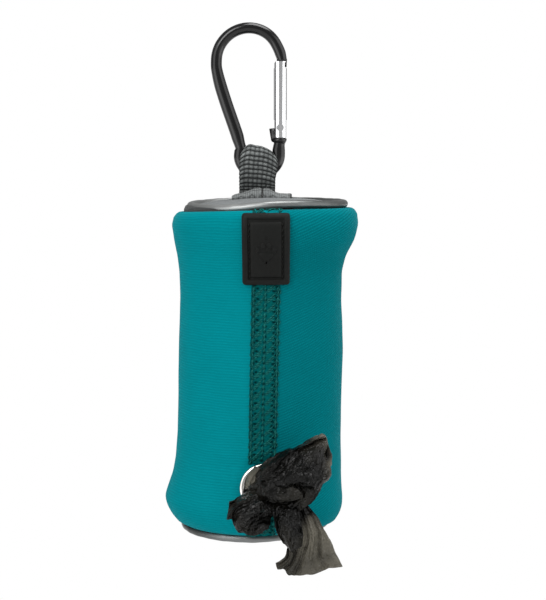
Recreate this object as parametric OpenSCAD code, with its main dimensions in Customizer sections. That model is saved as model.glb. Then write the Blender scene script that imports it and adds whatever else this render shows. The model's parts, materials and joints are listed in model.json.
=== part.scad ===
// Clip-on dog bag dispenser: a zipped neoprene pouch on a webbing loop and a small snap hook.
// Heights are built up from the underside of the pouch, then moved so that the origin is the
// point inside the snap hook's crown where it hangs. +Z up, +X right, -Y is the front.

/* [Pouch] */
// Outer radius at the waist
waist_r = 22.75; // [21:0.05:24]
// Extra radius of the belly between waist and foot
belly = 0.5; // [0:0.1:1]
// Outer radius of the shoulder under the lid
shoulder_r = 26.1; // [25.4:0.05:27]
// Outer radius of the foot
foot_r = 25.3; // [24.5:0.05:26]
// Thickness of the neoprene
neoprene_t = 2.8; // [2.4:0.1:3]
// Height of the upper rim of the sleeve
rim_z = 91; // [86:0.5:100]
// Height of the widest part of the shoulder below the rim
shoulder_drop = 3.7; // [3:0.1:5]
// Height of the widest part of the foot
foot_z = 9.3; // [8:0.1:11]
// Radius of the sleeve's upper edge
rim_r = 24; // [23.8:0.1:24.6]
// Radius of the sleeve's lower outer edge
hem_r = 22; // [21.8:0.1:22.6]

/* [Ends] */
// Radius of the round piping
piping_r = 1.15; // [1:0.05:1.3]
// Radius of the cord inside the piping
piping_cord_r = 0.72; // [0.5:0.02:0.76]
// Radius from the axis to the middle of the piping
piping_ring_r = 21.9; // [21.7:0.05:22.1]
// Thickness of the end panels
panel_t = 1.2; // [0.8:0.1:1.6]
// Rise of the lid panel at its middle
panel_crown = 1.6; // [0.5:0.1:2.5]
// Gap between the sleeve's rim and the lid's piping
zip_gap = 0.9; // [0.8:0.05:1.4]

/* [Zip] */
// Angle where the zip starts, from +X
zip_from = -66; // [-70:1:-60]
// Angle where the zip ends
zip_to = 142; // [138:1:170]
// Width of one zip coil across the tape
coil_w = 1.3; // [1.1:0.05:1.3]
// Height of one zip coil
coil_h = 0.9; // [0.7:0.05:0.9]
// Gap between the two coils, which the slider's post passes through
coil_gap = 0.6; // [0.5:0.05:0.8]
// Thickness of the zip tape
tape_t = 0.3; // [0.2:0.05:0.4]
// Length of the slider round the rim, in degrees
slider_arc = 18; // [14:1:20]
// Thickness of the slider's two plates
slider_plate = 0.5; // [0.4:0.05:0.5]
// Length of the pull tab
puller_len = 10; // [7:0.5:14]
// Width of the pull tab
puller_w = 3.4; // [3:0.1:4.4]
// Radius of the pull tab's pin
puller_pin_r = 0.35; // [0.3:0.01:0.4]

/* [Front] */
// Width of the rubber badge
badge_w = 12.5; // [10:0.5:14]
// Height of the rubber badge
badge_h = 19; // [15:0.5:22]
// Thickness of the rubber badge
badge_t = 1.2; // [0.8:0.1:1.6]
// Sideways place of the badge's middle
badge_x = 1.9; // [0:0.1:2]
// Width of the flatlock seam
seam_w = 8; // [6:0.5:9]
// Thickness of the flatlock seam's threads
seam_t = 0.45; // [0.3:0.05:0.6]
// Sideways place of the seam's middle
seam_x = 0.4; // [0:0.1:1]
// Height of the eyelet's middle
eyelet_z = 16.5; // [16:0.1:18]
// Radius of the eyelet's hole
eyelet_hole_r = 4.8; // [4:0.1:5]
// Thickness of the eyelet's barrel
eyelet_wall = 0.7; // [0.5:0.05:0.8]
// Outer radius of the eyelet's flange
flange_r = 7; // [6.6:0.1:7.4]

/* [Hook] */
// Radius of the hook's wire
wire_r = 1.55; // [1.45:0.05:1.6]
// Radius of the crown bend, to the middle of the wire
crown_r = 9.15; // [8.6:0.05:9.6]
// Height of the crown's centre
crown_z = 132.3; // [130:0.1:134]
// Sideways place of the crown's centre
crown_x = -2.95; // [-3.2:0.05:-2.7]
// Lean of the long limb
limb_lean = 15.4; // [14:0.1:16]
// Radius of the bend at the foot of the long limb
kink_r = 2.2; // [2:0.1:3]
// Radius of the lower bend, to the middle of the wire
eye_r = 5.5; // [5.4:0.05:5.7]
// Height of the lower bend's centre
eye_z = 106.1; // [105.6:0.1:106.6]
// Sideways place of the lower bend's centre
eye_x = -0.25; // [-0.4:0.05:0]

/* [Gate] */
// Sideways place of the gate's axis
gate_x = 5.7; // [5.6:0.05:5.8]
// Radius of the gate
gate_r = 1.83; // [1.75:0.01:1.9]
// Height of the gate's lower end
gate_low_z = 111; // [110.9:0.05:111.4]
// Height of the gate's upper end
gate_top_z = 132.2; // [131.8:0.1:132.6]
// Height of the rivet that the gate turns on
pivot_z = 113.8; // [113.6:0.05:114]
// Radius of the rivet
rivet_r = 0.5; // [0.4:0.02:0.6]
// Radius of the catch pin in the nose
catch_r = 0.45; // [0.4:0.01:0.5]
// Height of the catch pin
catch_z = 131.2; // [131:0.05:131.4]
// Thickness of the hook's flattened ends
tongue_t = 1.1; // [0.9:0.05:1.2]
// Bore of the gate for its spring
spring_bore_r = 1.15; // [1.05:0.01:1.2]

/* [Loop] */
// Thickness of the webbing
web_t = 1.2; // [1:0.05:1.3]
// Width of the webbing
web_w = 10.3; // [9.5:0.1:10.6]
// Sideways place of the webbing's middle
web_x = -0.75; // [-0.9:0.05:-0.6]
// Fall of the loop's crest from left to right
crest_lean = 19.5; // [15:0.5:20]
// Height of the crest at its left end
crest_z = 109.1; // [108.6:0.1:109.4]
// Height of the line on which the loop bends above the panel
flex_z = 97.4; // [97.3:0.05:97.7]
// Reach of the anchor tape to the left
anchor_left = 7.6; // [6.8:0.1:9]
// Reach of the anchor tape to the right
anchor_right = 8.7; // [6:0.1:10]

/* [Bags] */
// Radius of the full roll
roll_r = 17.5; // [14:0.5:18]
// Height of the roll
roll_h = 62; // [50:1:70]
// Radius of the roll's core
core_r = 6.5; // [5:0.5:10]
// Wall of the roll's core
core_wall = 1; // [0.6:0.1:2]

/* [Fits] */
// Clearance between sewn or seated pieces of one body
seat = 0.05; // [0.02:0.01:0.08]
// Clearance between soft or moving pieces
clear = 0.3; // [0.2:0.05:0.35]
// Running clearance of a pin in its hole
run = 0.03; // [0.02:0.01:0.08]

/* [Hidden] */
$fn = 64;
eps = 0.01;

// The pouch's outline: a waist, a faint belly, and rolled shoulders and foot
shoulder_z = rim_z - shoulder_drop;
belly_z = (foot_z + shoulder_z) * 0.42;
belly_spread = 22;
shoulder_spread = 9;
foot_spread = 7;
function swell(z, at, spread) = exp(-pow((z - at) / spread, 2));
function outer_r(z) = waist_r + belly * swell(z, belly_z, belly_spread)
    + (shoulder_r - waist_r) * swell(z, shoulder_z, shoulder_spread)
    + (foot_r - waist_r) * swell(z, foot_z, foot_spread);
outline_step = 2.6;
arc_step = 15;
lap = clear / 3;

// Ends: the sleeve's hem stands on the lower piping, and the lid's piping hangs over the rim
bottom_ring_z = piping_r + seat;
hem_z = bottom_ring_z + piping_r + lap;
top_ring_z = rim_z + zip_gap + piping_r;
panel_r = piping_ring_r - piping_r - seat;
panel_rest_z = top_ring_z - panel_t / 2;
panel_top_z = panel_rest_z + panel_t + panel_crown;
flange_len = 1.6;
welt_t = (piping_r - piping_cord_r - run) / 2;

// Zip: two coils one above the other inside the rim
rim_lip = 0.7;
mouth_r = rim_r - rim_lip;
slider_out_r = mouth_r - clear;
coil_out_r = slider_out_r - slider_plate - lap;
coil_in_r = coil_out_r - coil_w;
coil_mid_r = (coil_out_r + coil_in_r) / 2;
slider_in_r = coil_in_r - lap - slider_plate;
lid_coil_z = top_ring_z - piping_r - clear - coil_h;
pouch_coil_z = lid_coil_z - coil_gap - coil_h;
park_gap = 2;
slider_at = zip_to - slider_arc - park_gap;
bridge_t = 0.45;
bridge_z = rim_z + (zip_gap - bridge_t) / 2;
puller_t = 0.6;
puller_eye_r = puller_pin_r + 0.4;
puller_r = outer_r(shoulder_z) + clear + puller_eye_r;
puller_pin_z = bridge_z + bridge_t / 2;
lug_w = 0.6;
bridge_w = puller_w + 2 * lug_w;

// Front fittings
badge_top_z = rim_z - 0.4;
badge_low_z = badge_top_z - badge_h;
eyelet_y = sqrt(pow(outer_r(eyelet_z), 2) - flange_r * flange_r);
flange_t = 0.8;
recess_r = flange_r + lap;
pad_in_y = eyelet_y - neoprene_t;
barrel_r = eyelet_hole_r + eyelet_wall;

// Hook wire: crown, long limb, kink, eye and short limb, each tangent to the next
limb_top = [crown_x - crown_r * cos(limb_lean), crown_z - crown_r * sin(limb_lean)];
eye_left_x = eye_x - eye_r;
kink_in_x = eye_left_x - kink_r * (1 - cos(limb_lean));
limb_len = (kink_in_x - limb_top[0]) / sin(limb_lean);
kink_in_z = limb_top[1] - limb_len * cos(limb_lean);
kink_out_z = kink_in_z - kink_r * sin(limb_lean);
nose_angle = 12;
bend_trim = 0.01;
weld = 0.1;
collar_top_z = pivot_z - norm([gate_r, pivot_z - gate_low_z]) - 0.15;
collar_h = 0.8;
collar_r = wire_r + 0.3;
tongue_r = 1.45;
slot_w = tongue_t + 0.4;
slot_top_z = pivot_z + tongue_r + 0.65;
nose_low_z = catch_z - 0.65;
lip_x = 2.75;
catch_half = tongue_t / 2 + 0.55;
gate_bevel = 54;
gate_step = 0.45;
plunger_len = 2.6;
plunger_z = pivot_z + tongue_r + 0.15;
spring_top_z = nose_low_z - 1.2;

// Loop: two layers that part round the hook's wire and meet at the bending line
web_in = wire_r + clear + 0.05;
web_out = web_in + web_t;
web_left = web_x - web_w / 2;
web_right = web_x + web_w / 2;
arch_left = eye_x - eye_r + wire_r + 2 * clear;
arch_right = eye_x + eye_r - wire_r - 1.35;
arch_axis_z = crest_z - web_out / cos(crest_lean);
function arch_z(x) = arch_axis_z - (x - arch_left) * tan(crest_lean);
neck_z = eye_z - eye_r - wire_r - 0.2;
leg_low_z = neck_z + 1.05;
foot_top_z = flex_z - web_t - clear;
anchor_z = panel_top_z + seat;
anchor_y = 3.6;
anchor_top_z = flex_z - clear;
anchor_slit_x = 0.55;
anchor_slit_w = 0.35;

// Roll and tail
roll_z = panel_t + clear;
tail_r = eyelet_hole_r - clear - 0.1;
tail_in_y = roll_r + clear;

// The origin is the inside of the hook's crown
hang = [crown_x, 0, crown_z + crown_r - wire_r];

// Moves a piece from pouch heights to the hanging point's frame
module placed() {
    translate(-hang) children();
}

// A sweep round the pouch's axis between two angles
module swept(from, to) {
    rotate([0, 0, from]) rotate_extrude(angle = to - from, $fn = 128) children();
}

// A flat outline in X and Z, given a thickness along Y about y = at
module upright(thick, at = 0) {
    translate([0, at + thick / 2, 0]) rotate([90, 0, 0]) linear_extrude(thick) children();
}

// A round bar along Y, centred on y = at
module cross_bar(r, len, at = 0) {
    translate([0, at, 0]) rotate([90, 0, 0]) cylinder(r = r, h = len, center = true);
}

// ---- Hook -------------------------------------------------------------------------------------

// A bend of the hook's wire in the XZ plane
module wire_bend(at, bend_r, from, to) {
    translate([at[0], 0, at[1]]) rotate([90, 0, 0]) rotate([0, 0, from])
        rotate_extrude(angle = to - from, $fn = 96) translate([bend_r, 0])
            circle(r = wire_r - bend_trim, $fn = 48);
}

module carabiner_frame() {
    eye_right_x = eye_x + eye_r;
    nose_in = [crown_x + crown_r * cos(nose_angle), crown_z + crown_r * sin(nose_angle)];
    color("#17181a") placed() {
        difference() {
            union() {
                wire_bend([crown_x, crown_z], crown_r, nose_angle, 180 + limb_lean);
                translate([limb_top[0], 0, limb_top[1]]) rotate([0, 180 - limb_lean, 0])
                    translate([0, 0, -weld]) cylinder(r = wire_r, h = limb_len + 2 * weld);
                wire_bend([eye_left_x - kink_r, kink_out_z], kink_r, 0, limb_lean);
                translate([eye_left_x, 0, eye_z - weld])
                    cylinder(r = wire_r, h = kink_out_z - eye_z + 2 * weld);
                wire_bend([eye_x, eye_z], eye_r, 180, 360);
                translate([eye_right_x, 0, eye_z - weld])
                    cylinder(r = wire_r, h = collar_top_z - collar_h / 2 - eye_z + weld);
                translate([gate_x - 0.15, 0, collar_top_z - collar_h]) {
                    cylinder(r = collar_r, h = collar_h);
                    translate([0, 0, -collar_h]) cylinder(r1 = wire_r - lap, r2 = collar_r, h = collar_h);
                }
                upright(tongue_t) {
                    translate([gate_x, pivot_z]) circle(r = tongue_r);
                    translate([gate_x - tongue_r, collar_top_z - collar_h])
                        square([2 * tongue_r, pivot_z - collar_top_z + collar_h]);
                    polygon([[gate_x, collar_top_z - collar_h], [gate_x - collar_r + 0.2, collar_top_z - collar_h],
                        [gate_x - lip_x + 0.25, collar_top_z], [gate_x - lip_x - 0.25, pivot_z - 0.35],
                        [gate_x, pivot_z - 0.35]]);
                }
                upright(tongue_t) translate([nose_in[0] - 1.4, nose_low_z])
                    square([2.8, nose_in[1] - nose_low_z + 0.3]);
            }
            translate([gate_x, 0, pivot_z]) cross_bar(rivet_r + run, 4);
            translate([gate_x, 0, catch_z]) cross_bar(catch_r + seat / 2, 4);
        }
    }
}

module catch_pin() {
    color("#8f9294") placed() translate([gate_x, 0, catch_z]) cross_bar(catch_r, 2 * catch_half);
}

module gate_rod() {
    color("#c9ccd0") placed() difference() {
        translate([gate_x, 0, gate_low_z]) cylinder(r = gate_r, h = gate_top_z - gate_low_z);
        translate([gate_x - gate_r, 0, gate_top_z]) rotate([0, -gate_bevel, 0])
            translate([-3, -3, -gate_step]) cube([3 + gate_step, 6, 3]);
        translate([gate_x - 3, -slot_w / 2, gate_low_z - 1]) cube([6, slot_w, slot_top_z - gate_low_z + 1]);
        translate([gate_x - 3, -slot_w / 2, nose_low_z - clear]) cube([6, slot_w, 4]);
        translate([gate_x - catch_r - clear, -catch_half - clear, catch_z - catch_r - clear])
            cube([4, 2 * (catch_half + clear), 2 * (catch_r + clear)]);
        translate([gate_x, 0, plunger_z - 0.1]) cylinder(r = spring_bore_r, h = spring_top_z - plunger_z + 0.2);
        translate([gate_x, 0, pivot_z]) cross_bar(rivet_r + seat / 2, 5);
    }
}

module gate_rivet() {
    head_t = 0.35;
    color("#d8dadd") placed() translate([gate_x, 0, pivot_z]) {
        cross_bar(rivet_r, 2 * (gate_r + head_t));
        for (side = [-1, 1])
            cross_bar(1, head_t, side * (gate_r + seat + head_t / 2));
    }
}

// The spring's turns, drawn as one ribbed sleeve
module gate_spring() {
    turns = 14;
    spring_r = spring_bore_r - 0.1;
    low_z = plunger_z + plunger_len + seat;
    pitch = (spring_top_z - low_z) / turns;
    outside = [for (i = [0 : 2 * turns]) [spring_r - (i % 2) * 0.15, low_z + i * pitch / 2]];
    inside = [for (i = [2 * turns : -1 : 0]) [spring_r - 0.3 - (i % 2) * 0.15, low_z + i * pitch / 2]];
    color("#b9bcc0") placed() translate([gate_x, 0, 0]) rotate_extrude($fn = 32) polygon(concat(outside, inside));
}

module spring_plunger() {
    color("#9da0a3") placed() translate([gate_x, 0, plunger_z])
        cylinder(r = spring_bore_r - 0.07, h = plunger_len);
}

// ---- Loop -------------------------------------------------------------------------------------

module loop_webbing() {
    shoulder_low_z = arch_z(arch_right);
    color("#5a5f60") placed() {
        translate([arch_left, 0, arch_axis_z]) rotate([0, 90 + crest_lean, 0])
            difference() {
                len = (arch_right - arch_left) / cos(crest_lean);
                cylinder(r = web_out, h = len);
                translate([0, 0, -1]) cylinder(r = web_in, h = len + 2);
                translate([0, -10, -1]) cube([20, 20, len + 2]);
            }
        for (side = [-1, 1]) {
            upright(web_t, side * (web_in + web_t / 2))
                polygon([[web_left, leg_low_z], [web_right, leg_low_z], [web_right, shoulder_low_z],
                    [arch_right, shoulder_low_z], [arch_left, arch_axis_z], [arch_left - 1.1, arch_axis_z - 1.3],
                    [web_left, eye_z - 4.5]]);
            translate([web_left, 0, 0]) rotate([90, 0, 90]) linear_extrude(web_w)
                polygon([[side * web_in, neck_z], [side * web_in, leg_low_z], [side * web_out, leg_low_z],
                    [side * web_t, flex_z + 0.7], [side * web_t, flex_z], [0, flex_z], [0, flex_z + 1]]);
        }
        translate([web_left, 0, flex_z]) rotate([0, 90, 0]) cylinder(r = web_t, h = web_w);
    }
}

module loop_foot() {
    color("#565b5c") placed()
        translate([web_left, -web_t, anchor_z]) cube([web_w, 2 * web_t, foot_top_z - anchor_z]);
}

// One folded tape round the loop's foot: an outline in X and Z with a pocket for the webbing
module anchor_tape(outline) {
    color("#7b8081") placed() difference() {
        upright(2 * anchor_y) polygon(outline);
        translate([web_left - clear, -web_t - clear, anchor_z - 1])
            cube([web_w + 2 * clear, 2 * (web_t + clear), 10]);
    }
}

module anchor_tape_left() {
    inner = anchor_slit_x - anchor_slit_w / 2;
    anchor_tape([[-anchor_left, anchor_z], [-anchor_left, anchor_z + 0.5], [-anchor_left + 2.2, anchor_z + 1.3],
        [-3, anchor_top_z - 0.4], [inner, anchor_top_z], [inner, anchor_z]]);
}

module anchor_tape_right() {
    inner = anchor_slit_x + anchor_slit_w / 2;
    anchor_tape([[inner, anchor_z], [inner, anchor_top_z], [2.2, anchor_top_z - 0.3], [4.2, anchor_z + 1.1],
        [anchor_right, anchor_z + 1], [anchor_right, anchor_z]]);
}

// ---- Lid --------------------------------------------------------------------------------------

module top_panel() {
    steps = 8;
    function rise(r) = panel_crown * (1 - pow(r / panel_r, 2));
    top = [for (i = [0 : steps]) let (r = panel_r * i / steps) [r, panel_rest_z + panel_t + rise(r)]];
    under = [for (i = [steps : -1 : 0]) let (r = panel_r * i / steps) [r, panel_rest_z + rise(r)]];
    color("#6d7273") placed() rotate_extrude($fn = 128) polygon(concat(top, under));
}

// Piping cover: cloth round a cord, open towards the axis where its two edges are sewn
module piping_cover(z, flange_side) {
    slit = 0.25;
    color("#8d9193") placed() rotate_extrude($fn = 128) translate([piping_ring_r, z]) {
        difference() {
            circle(r = piping_r, $fn = 48);
            circle(r = piping_cord_r + run, $fn = 48);
            translate([-2 * piping_r, flange_side * piping_cord_r / 2 - slit / 2]) square([2 * piping_r, slit]);
        }
    }
}

module piping_cord(z) {
    color("#c8c8c0") placed() rotate_extrude($fn = 128) translate([piping_ring_r, z])
        circle(r = piping_cord_r, $fn = 48);
}

module top_piping() { piping_cover(top_ring_z, -1); }

module top_piping_cord() { piping_cord(top_ring_z); }

module zip_coil(z) {
    color("#1d1f20") placed() swept(zip_from, zip_to) translate([coil_in_r, z]) square([coil_w, coil_h]);
}

// The lid's coil stops short of both places where the slider parks
module lid_zip_coil() {
    color("#1d1f20") placed() swept(zip_from + slider_arc + 2 * park_gap, slider_at - park_gap)
        translate([coil_in_r, lid_coil_z]) square([coil_w, coil_h]);
}

module lid_zip_tape() {
    tape_low_z = lid_coil_z + coil_h + seat / 2;
    color("#2a2d2e") placed() swept(zip_from + slider_arc + 2 * park_gap, slider_at - park_gap)
        translate([coil_mid_r - tape_t / 2, tape_low_z])
            square([tape_t, top_ring_z - piping_r - tape_low_z - seat / 2]);
}

// The cloth on which the lid folds back, where no zip runs
module hinge_tape() {
    tape_top_z = top_ring_z - piping_r - seat;
    color("#3a5c5f") placed() swept(zip_to - 360 + park_gap, zip_from - park_gap)
        translate([rim_r - 2.2, tape_top_z - tape_t]) square([0.9, tape_t]);
}

// ---- Pouch ------------------------------------------------------------------------------------

// The sleeve's outer outline, from its hem to its rim
foot_top_r = outer_r(foot_z);
shoulder_top_r = outer_r(shoulder_z);
body_z = [for (z = [foot_z + outline_step : outline_step : shoulder_z - outline_step / 2]) z];
foot_out = [for (a = [0 : arc_step : 90])
    [hem_r + (foot_top_r - hem_r) * sin(a), foot_z - (foot_z - hem_z) * cos(a)]];
body_out = [for (z = body_z) [outer_r(z), z]];
shoulder_out = [for (a = [0 : arc_step : 90])
    [rim_r + (shoulder_top_r - rim_r) * cos(a), shoulder_z + (rim_z - shoulder_z) * sin(a)]];
outline = concat(foot_out, body_out, shoulder_out);
washer_r = flange_r - 0.4;

module sleeve() {
    rim_in = [[mouth_r + 0.3, rim_z], [mouth_r, rim_z - 0.4]];
    foot_in = [for (a = [90 : -arc_step : 0])
        [hem_r - neoprene_t + (foot_top_r - hem_r) * sin(a), foot_z - (foot_z - hem_z) * cos(a)]];
    body_in = [for (i = [len(body_z) - 1 : -1 : 0]) [outer_r(body_z[i]) - neoprene_t, body_z[i]]];
    color("#04848c") placed() difference() {
        union() {
            rotate_extrude($fn = 128) polygon(concat(outline, rim_in,
                [[mouth_r, shoulder_z]], body_in, foot_in));
            translate([0, 0, eyelet_z]) cross_bar(recess_r, neoprene_t, -(eyelet_y + pad_in_y) / 2);
        }
        translate([0, 0, eyelet_z]) cross_bar(recess_r + eps, 6, -eyelet_y - 3);
        translate([0, 0, eyelet_z]) cross_bar(washer_r + lap, 6, -pad_in_y + 3);
        translate([0, 0, eyelet_z]) cross_bar(barrel_r + seat, 12, -eyelet_y);
    }
}

// Radius of the sleeve's face at a height, along its outline
face_table = [for (p = outline) [p[1], p[0]]];
function face_r(z) = lookup(z, face_table);

// Heights at which the sleeve's outline turns, between two heights
function face_heights(low, high) = concat([low],
    [for (p = outline) if (p[1] > low + seat && p[1] < high - seat) p[1]], [high]);

// Outline that lies on the sleeve's face between two heights, from one depth to another
function facing(low, high, near, far) = let (zs = face_heights(low, high)) concat(
    [for (z = zs) [face_r(z) + near, z]],
    [for (i = [len(zs) - 1 : -1 : 0]) [face_r(zs[i]) + far, zs[i]]]);

// Angle from the front for a sideways distance on the sleeve's face
function turn_for(x, r) = -90 + asin(x / r);

module seam_threads() {
    color("#035057") placed() difference() {
        swept(turn_for(seam_x - seam_w / 2, waist_r), turn_for(seam_x + seam_w / 2, waist_r))
            polygon(facing(foot_z - 1, badge_low_z - clear, seat, seat + seam_t));
        translate([0, 0, eyelet_z]) cross_bar(recess_r + lap, 20, -eyelet_y);
    }
}

module badge() {
    corner = 1.6;
    left = badge_x - badge_w / 2;
    color("#232421") placed() intersection() {
        swept(turn_for(left - 1, shoulder_r), turn_for(left + badge_w + 1, shoulder_r))
            polygon(facing(badge_low_z, badge_top_z, seat, seat + badge_t));
        upright(20, -24) {
            translate([left + corner, badge_low_z]) square([badge_w - 2 * corner, badge_h]);
            translate([left, badge_low_z + corner]) square([badge_w, badge_h - 2 * corner]);
            for (x = [left + corner, left + badge_w - corner])
                for (z = [badge_low_z + corner, badge_top_z - corner])
                    translate([x, z]) circle(r = corner);
        }
    }
}

// Two rows of thread along the badge's sides
module badge_stitching() {
    inset = 1.4;
    thread_t = 0.25;
    thread_w = 0.35;
    color("#3a3b38") placed() for (side = [-1, 1]) {
        x = badge_x + side * (badge_w / 2 - inset);
        swept(turn_for(x - thread_w / 2, shoulder_r), turn_for(x + thread_w / 2, shoulder_r))
            polygon(facing(badge_low_z + 2, badge_top_z - 3, seat + badge_t + seat / 2, seat + badge_t + thread_t));
    }
}

// Flange and barrel of the metal eyelet; its barrel is set through the washer behind
module eyelet() {
    barrel_len = flange_t + neoprene_t + flange_t + 0.6;
    color("#c4c2bd") placed() difference() {
        union() {
            translate([0, 0, eyelet_z]) cross_bar(flange_r, flange_t, -(eyelet_y + seat + flange_t / 2));
            translate([0, 0, eyelet_z])
                cross_bar(barrel_r, barrel_len, -(eyelet_y + seat + flange_t - barrel_len / 2));
        }
        translate([0, 0, eyelet_z]) cross_bar(eyelet_hole_r, 20, -eyelet_y);
    }
}

module eyelet_washer() {
    color("#b1afaa") placed() difference() {
        translate([0, 0, eyelet_z]) cross_bar(washer_r, flange_t, -(pad_in_y - seat - flange_t / 2));
        translate([0, 0, eyelet_z]) cross_bar(barrel_r + seat / 2, 20, -eyelet_y);
    }
}

module pouch_zip_coil() { zip_coil(pouch_coil_z); }

// Tape from the lower coil down and out to the sleeve's inside, where it is sewn
module pouch_zip_tape() {
    top_z = pouch_coil_z - seat / 2;
    drop = 1.5;
    sewn_h = 2.6;
    sewn_r = outer_r(top_z - drop - sewn_h) - neoprene_t - seat;
    color("#2a2d2e") placed() swept(zip_from, zip_to) polygon([
        [coil_mid_r - tape_t / 2, top_z], [coil_mid_r + tape_t / 2, top_z],
        [coil_mid_r + tape_t / 2, top_z - clear], [sewn_r, top_z - drop], [sewn_r, top_z - drop - sewn_h],
        [sewn_r - tape_t, top_z - drop - sewn_h], [sewn_r - tape_t, top_z - drop - 0.2],
        [coil_mid_r - tape_t / 2, top_z - clear - 0.2]]);
}

module zip_stops() {
    stop_arc = 3;
    color("#3c3f40") placed() for (from = [zip_from - stop_arc - 0.3, zip_to + 0.3])
        swept(from, from + stop_arc) translate([coil_in_r, pouch_coil_z]) square([coil_w, coil_h]);
}

module zip_slider() {
    low_z = pouch_coil_z;
    high_z = bridge_z + bridge_t;
    post_t = coil_gap - 2 * lap;
    color("#303335") placed() {
        swept(slider_at, slider_at + slider_arc) {
            translate([slider_out_r - slider_plate, low_z]) square([slider_plate, high_z - low_z]);
            translate([slider_in_r, low_z]) square([slider_plate, lid_coil_z + coil_h - low_z]);
        }
        swept(slider_at + slider_arc * 0.6, slider_at + slider_arc)
            translate([slider_in_r + eps, pouch_coil_z + coil_h + lap])
                square([slider_out_r - slider_in_r - 2 * eps, post_t]);
        rotate([0, 0, slider_at + slider_arc / 2]) difference() {
            union() {
                translate([slider_out_r - slider_plate + 0.1, -bridge_w / 2, bridge_z])
                    cube([puller_r - slider_out_r + slider_plate - 0.1, bridge_w, bridge_t]);
                for (y = [-bridge_w / 2, bridge_w / 2 - lug_w])
                    translate([puller_r, y + lug_w, puller_pin_z]) rotate([90, 0, 0])
                        cylinder(r = puller_eye_r, h = lug_w, $fn = 32);
            }
            translate([puller_r - puller_eye_r - lap, -puller_w / 2 - eps, bridge_z - 1])
                cube([4, puller_w + 2 * eps, 3]);
            translate([puller_r, 0, puller_pin_z]) cross_bar(puller_pin_r + seat / 2, 10);
        }
    }
}

module puller_pin() {
    color("#8f9294") placed() rotate([0, 0, slider_at + slider_arc / 2])
        translate([puller_r, 0, puller_pin_z]) cross_bar(puller_pin_r, bridge_w);
}

module zip_puller() {
    eye_w = puller_w - 2 * lap;
    color("#3b3e40") placed() rotate([0, 0, slider_at + slider_arc / 2])
        translate([puller_r, 0, puller_pin_z]) difference() {
            union() {
                cross_bar(puller_eye_r, eye_w);
                translate([0, -eye_w / 2, -puller_len]) cube([puller_t, eye_w, puller_len]);
            }
            cross_bar(puller_pin_r + run, eye_w + 2);
            translate([puller_t / 2, 0, -puller_len + 2.4]) rotate([0, 90, 0])
                cylinder(r = 0.9, h = 4, center = true);
        }
}

// ---- Lower end --------------------------------------------------------------------------------

module bottom_panel() {
    color("#6d7273") placed() cylinder(r = panel_r, h = panel_t, $fn = 128);
}

module bottom_piping() { piping_cover(bottom_ring_z, 1); }

module bottom_piping_cord() { piping_cord(bottom_ring_z); }

// ---- Bags -------------------------------------------------------------------------------------

module bag_core() {
    color("#b9a07a") placed() translate([0, 0, roll_z]) difference() {
        cylinder(r = core_r, h = roll_h);
        translate([0, 0, -1]) cylinder(r = core_r - core_wall, h = roll_h + 2);
    }
}

module bag_roll() {
    color("#1b1b1c") placed() translate([0, 0, roll_z]) difference() {
        cylinder(r = roll_r, h = roll_h, $fn = 128);
        translate([0, 0, -1]) cylinder(r = core_r + seat, h = roll_h + 2);
    }
}

// A rounded lump of gathered film between balls given as [x, depth in front, z, radius]
module gather(balls) {
    hull() for (b = balls) translate([b[0], -b[1], b[2]]) sphere(r = b[3], $fn = 20);
}

module bag_tail() {
    front = foot_r + clear + 4.2;
    color("#161615") placed() {
        translate([0, 0, eyelet_z]) cross_bar(tail_r, front - tail_in_y, -(front + tail_in_y) / 2);
        gather([[0.5, front, eyelet_z, 3.6], [15, front + 1, 29, 2.4], [17, front + 2, 20, 2.4], [8, front + 2, 13, 3.4]]);
        gather([[-4.5, front, 10, 2.6], [1.5, front, 7, 2.6], [8, front + 2, 13, 3.4], [0.5, front, eyelet_z, 3.4]]);
        gather([[8, front + 2, 13, 3.2], [10, front + 1, -3.6, 2.3], [19, front + 2, -0.6, 1.7]]);
    }
}

carabiner_frame();
catch_pin();
gate_rod();
gate_rivet();
gate_spring();
spring_plunger();
loop_webbing();
loop_foot();
anchor_tape_left();
anchor_tape_right();
top_panel();
top_piping();
top_piping_cord();
lid_zip_tape();
lid_zip_coil();
hinge_tape();
sleeve();
seam_threads();
badge();
badge_stitching();
eyelet();
eyelet_washer();
pouch_zip_tape();
pouch_zip_coil();
zip_stops();
zip_slider();
puller_pin();
zip_puller();
bottom_panel();
bottom_piping();
bottom_piping_cord();
bag_core();
bag_roll();
bag_tail();
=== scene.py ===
import json
import logging
import math
from dataclasses import dataclass
from enum import Enum
from functools import cache, reduce
from typing import Callable, Optional, Sequence, Union

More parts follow.
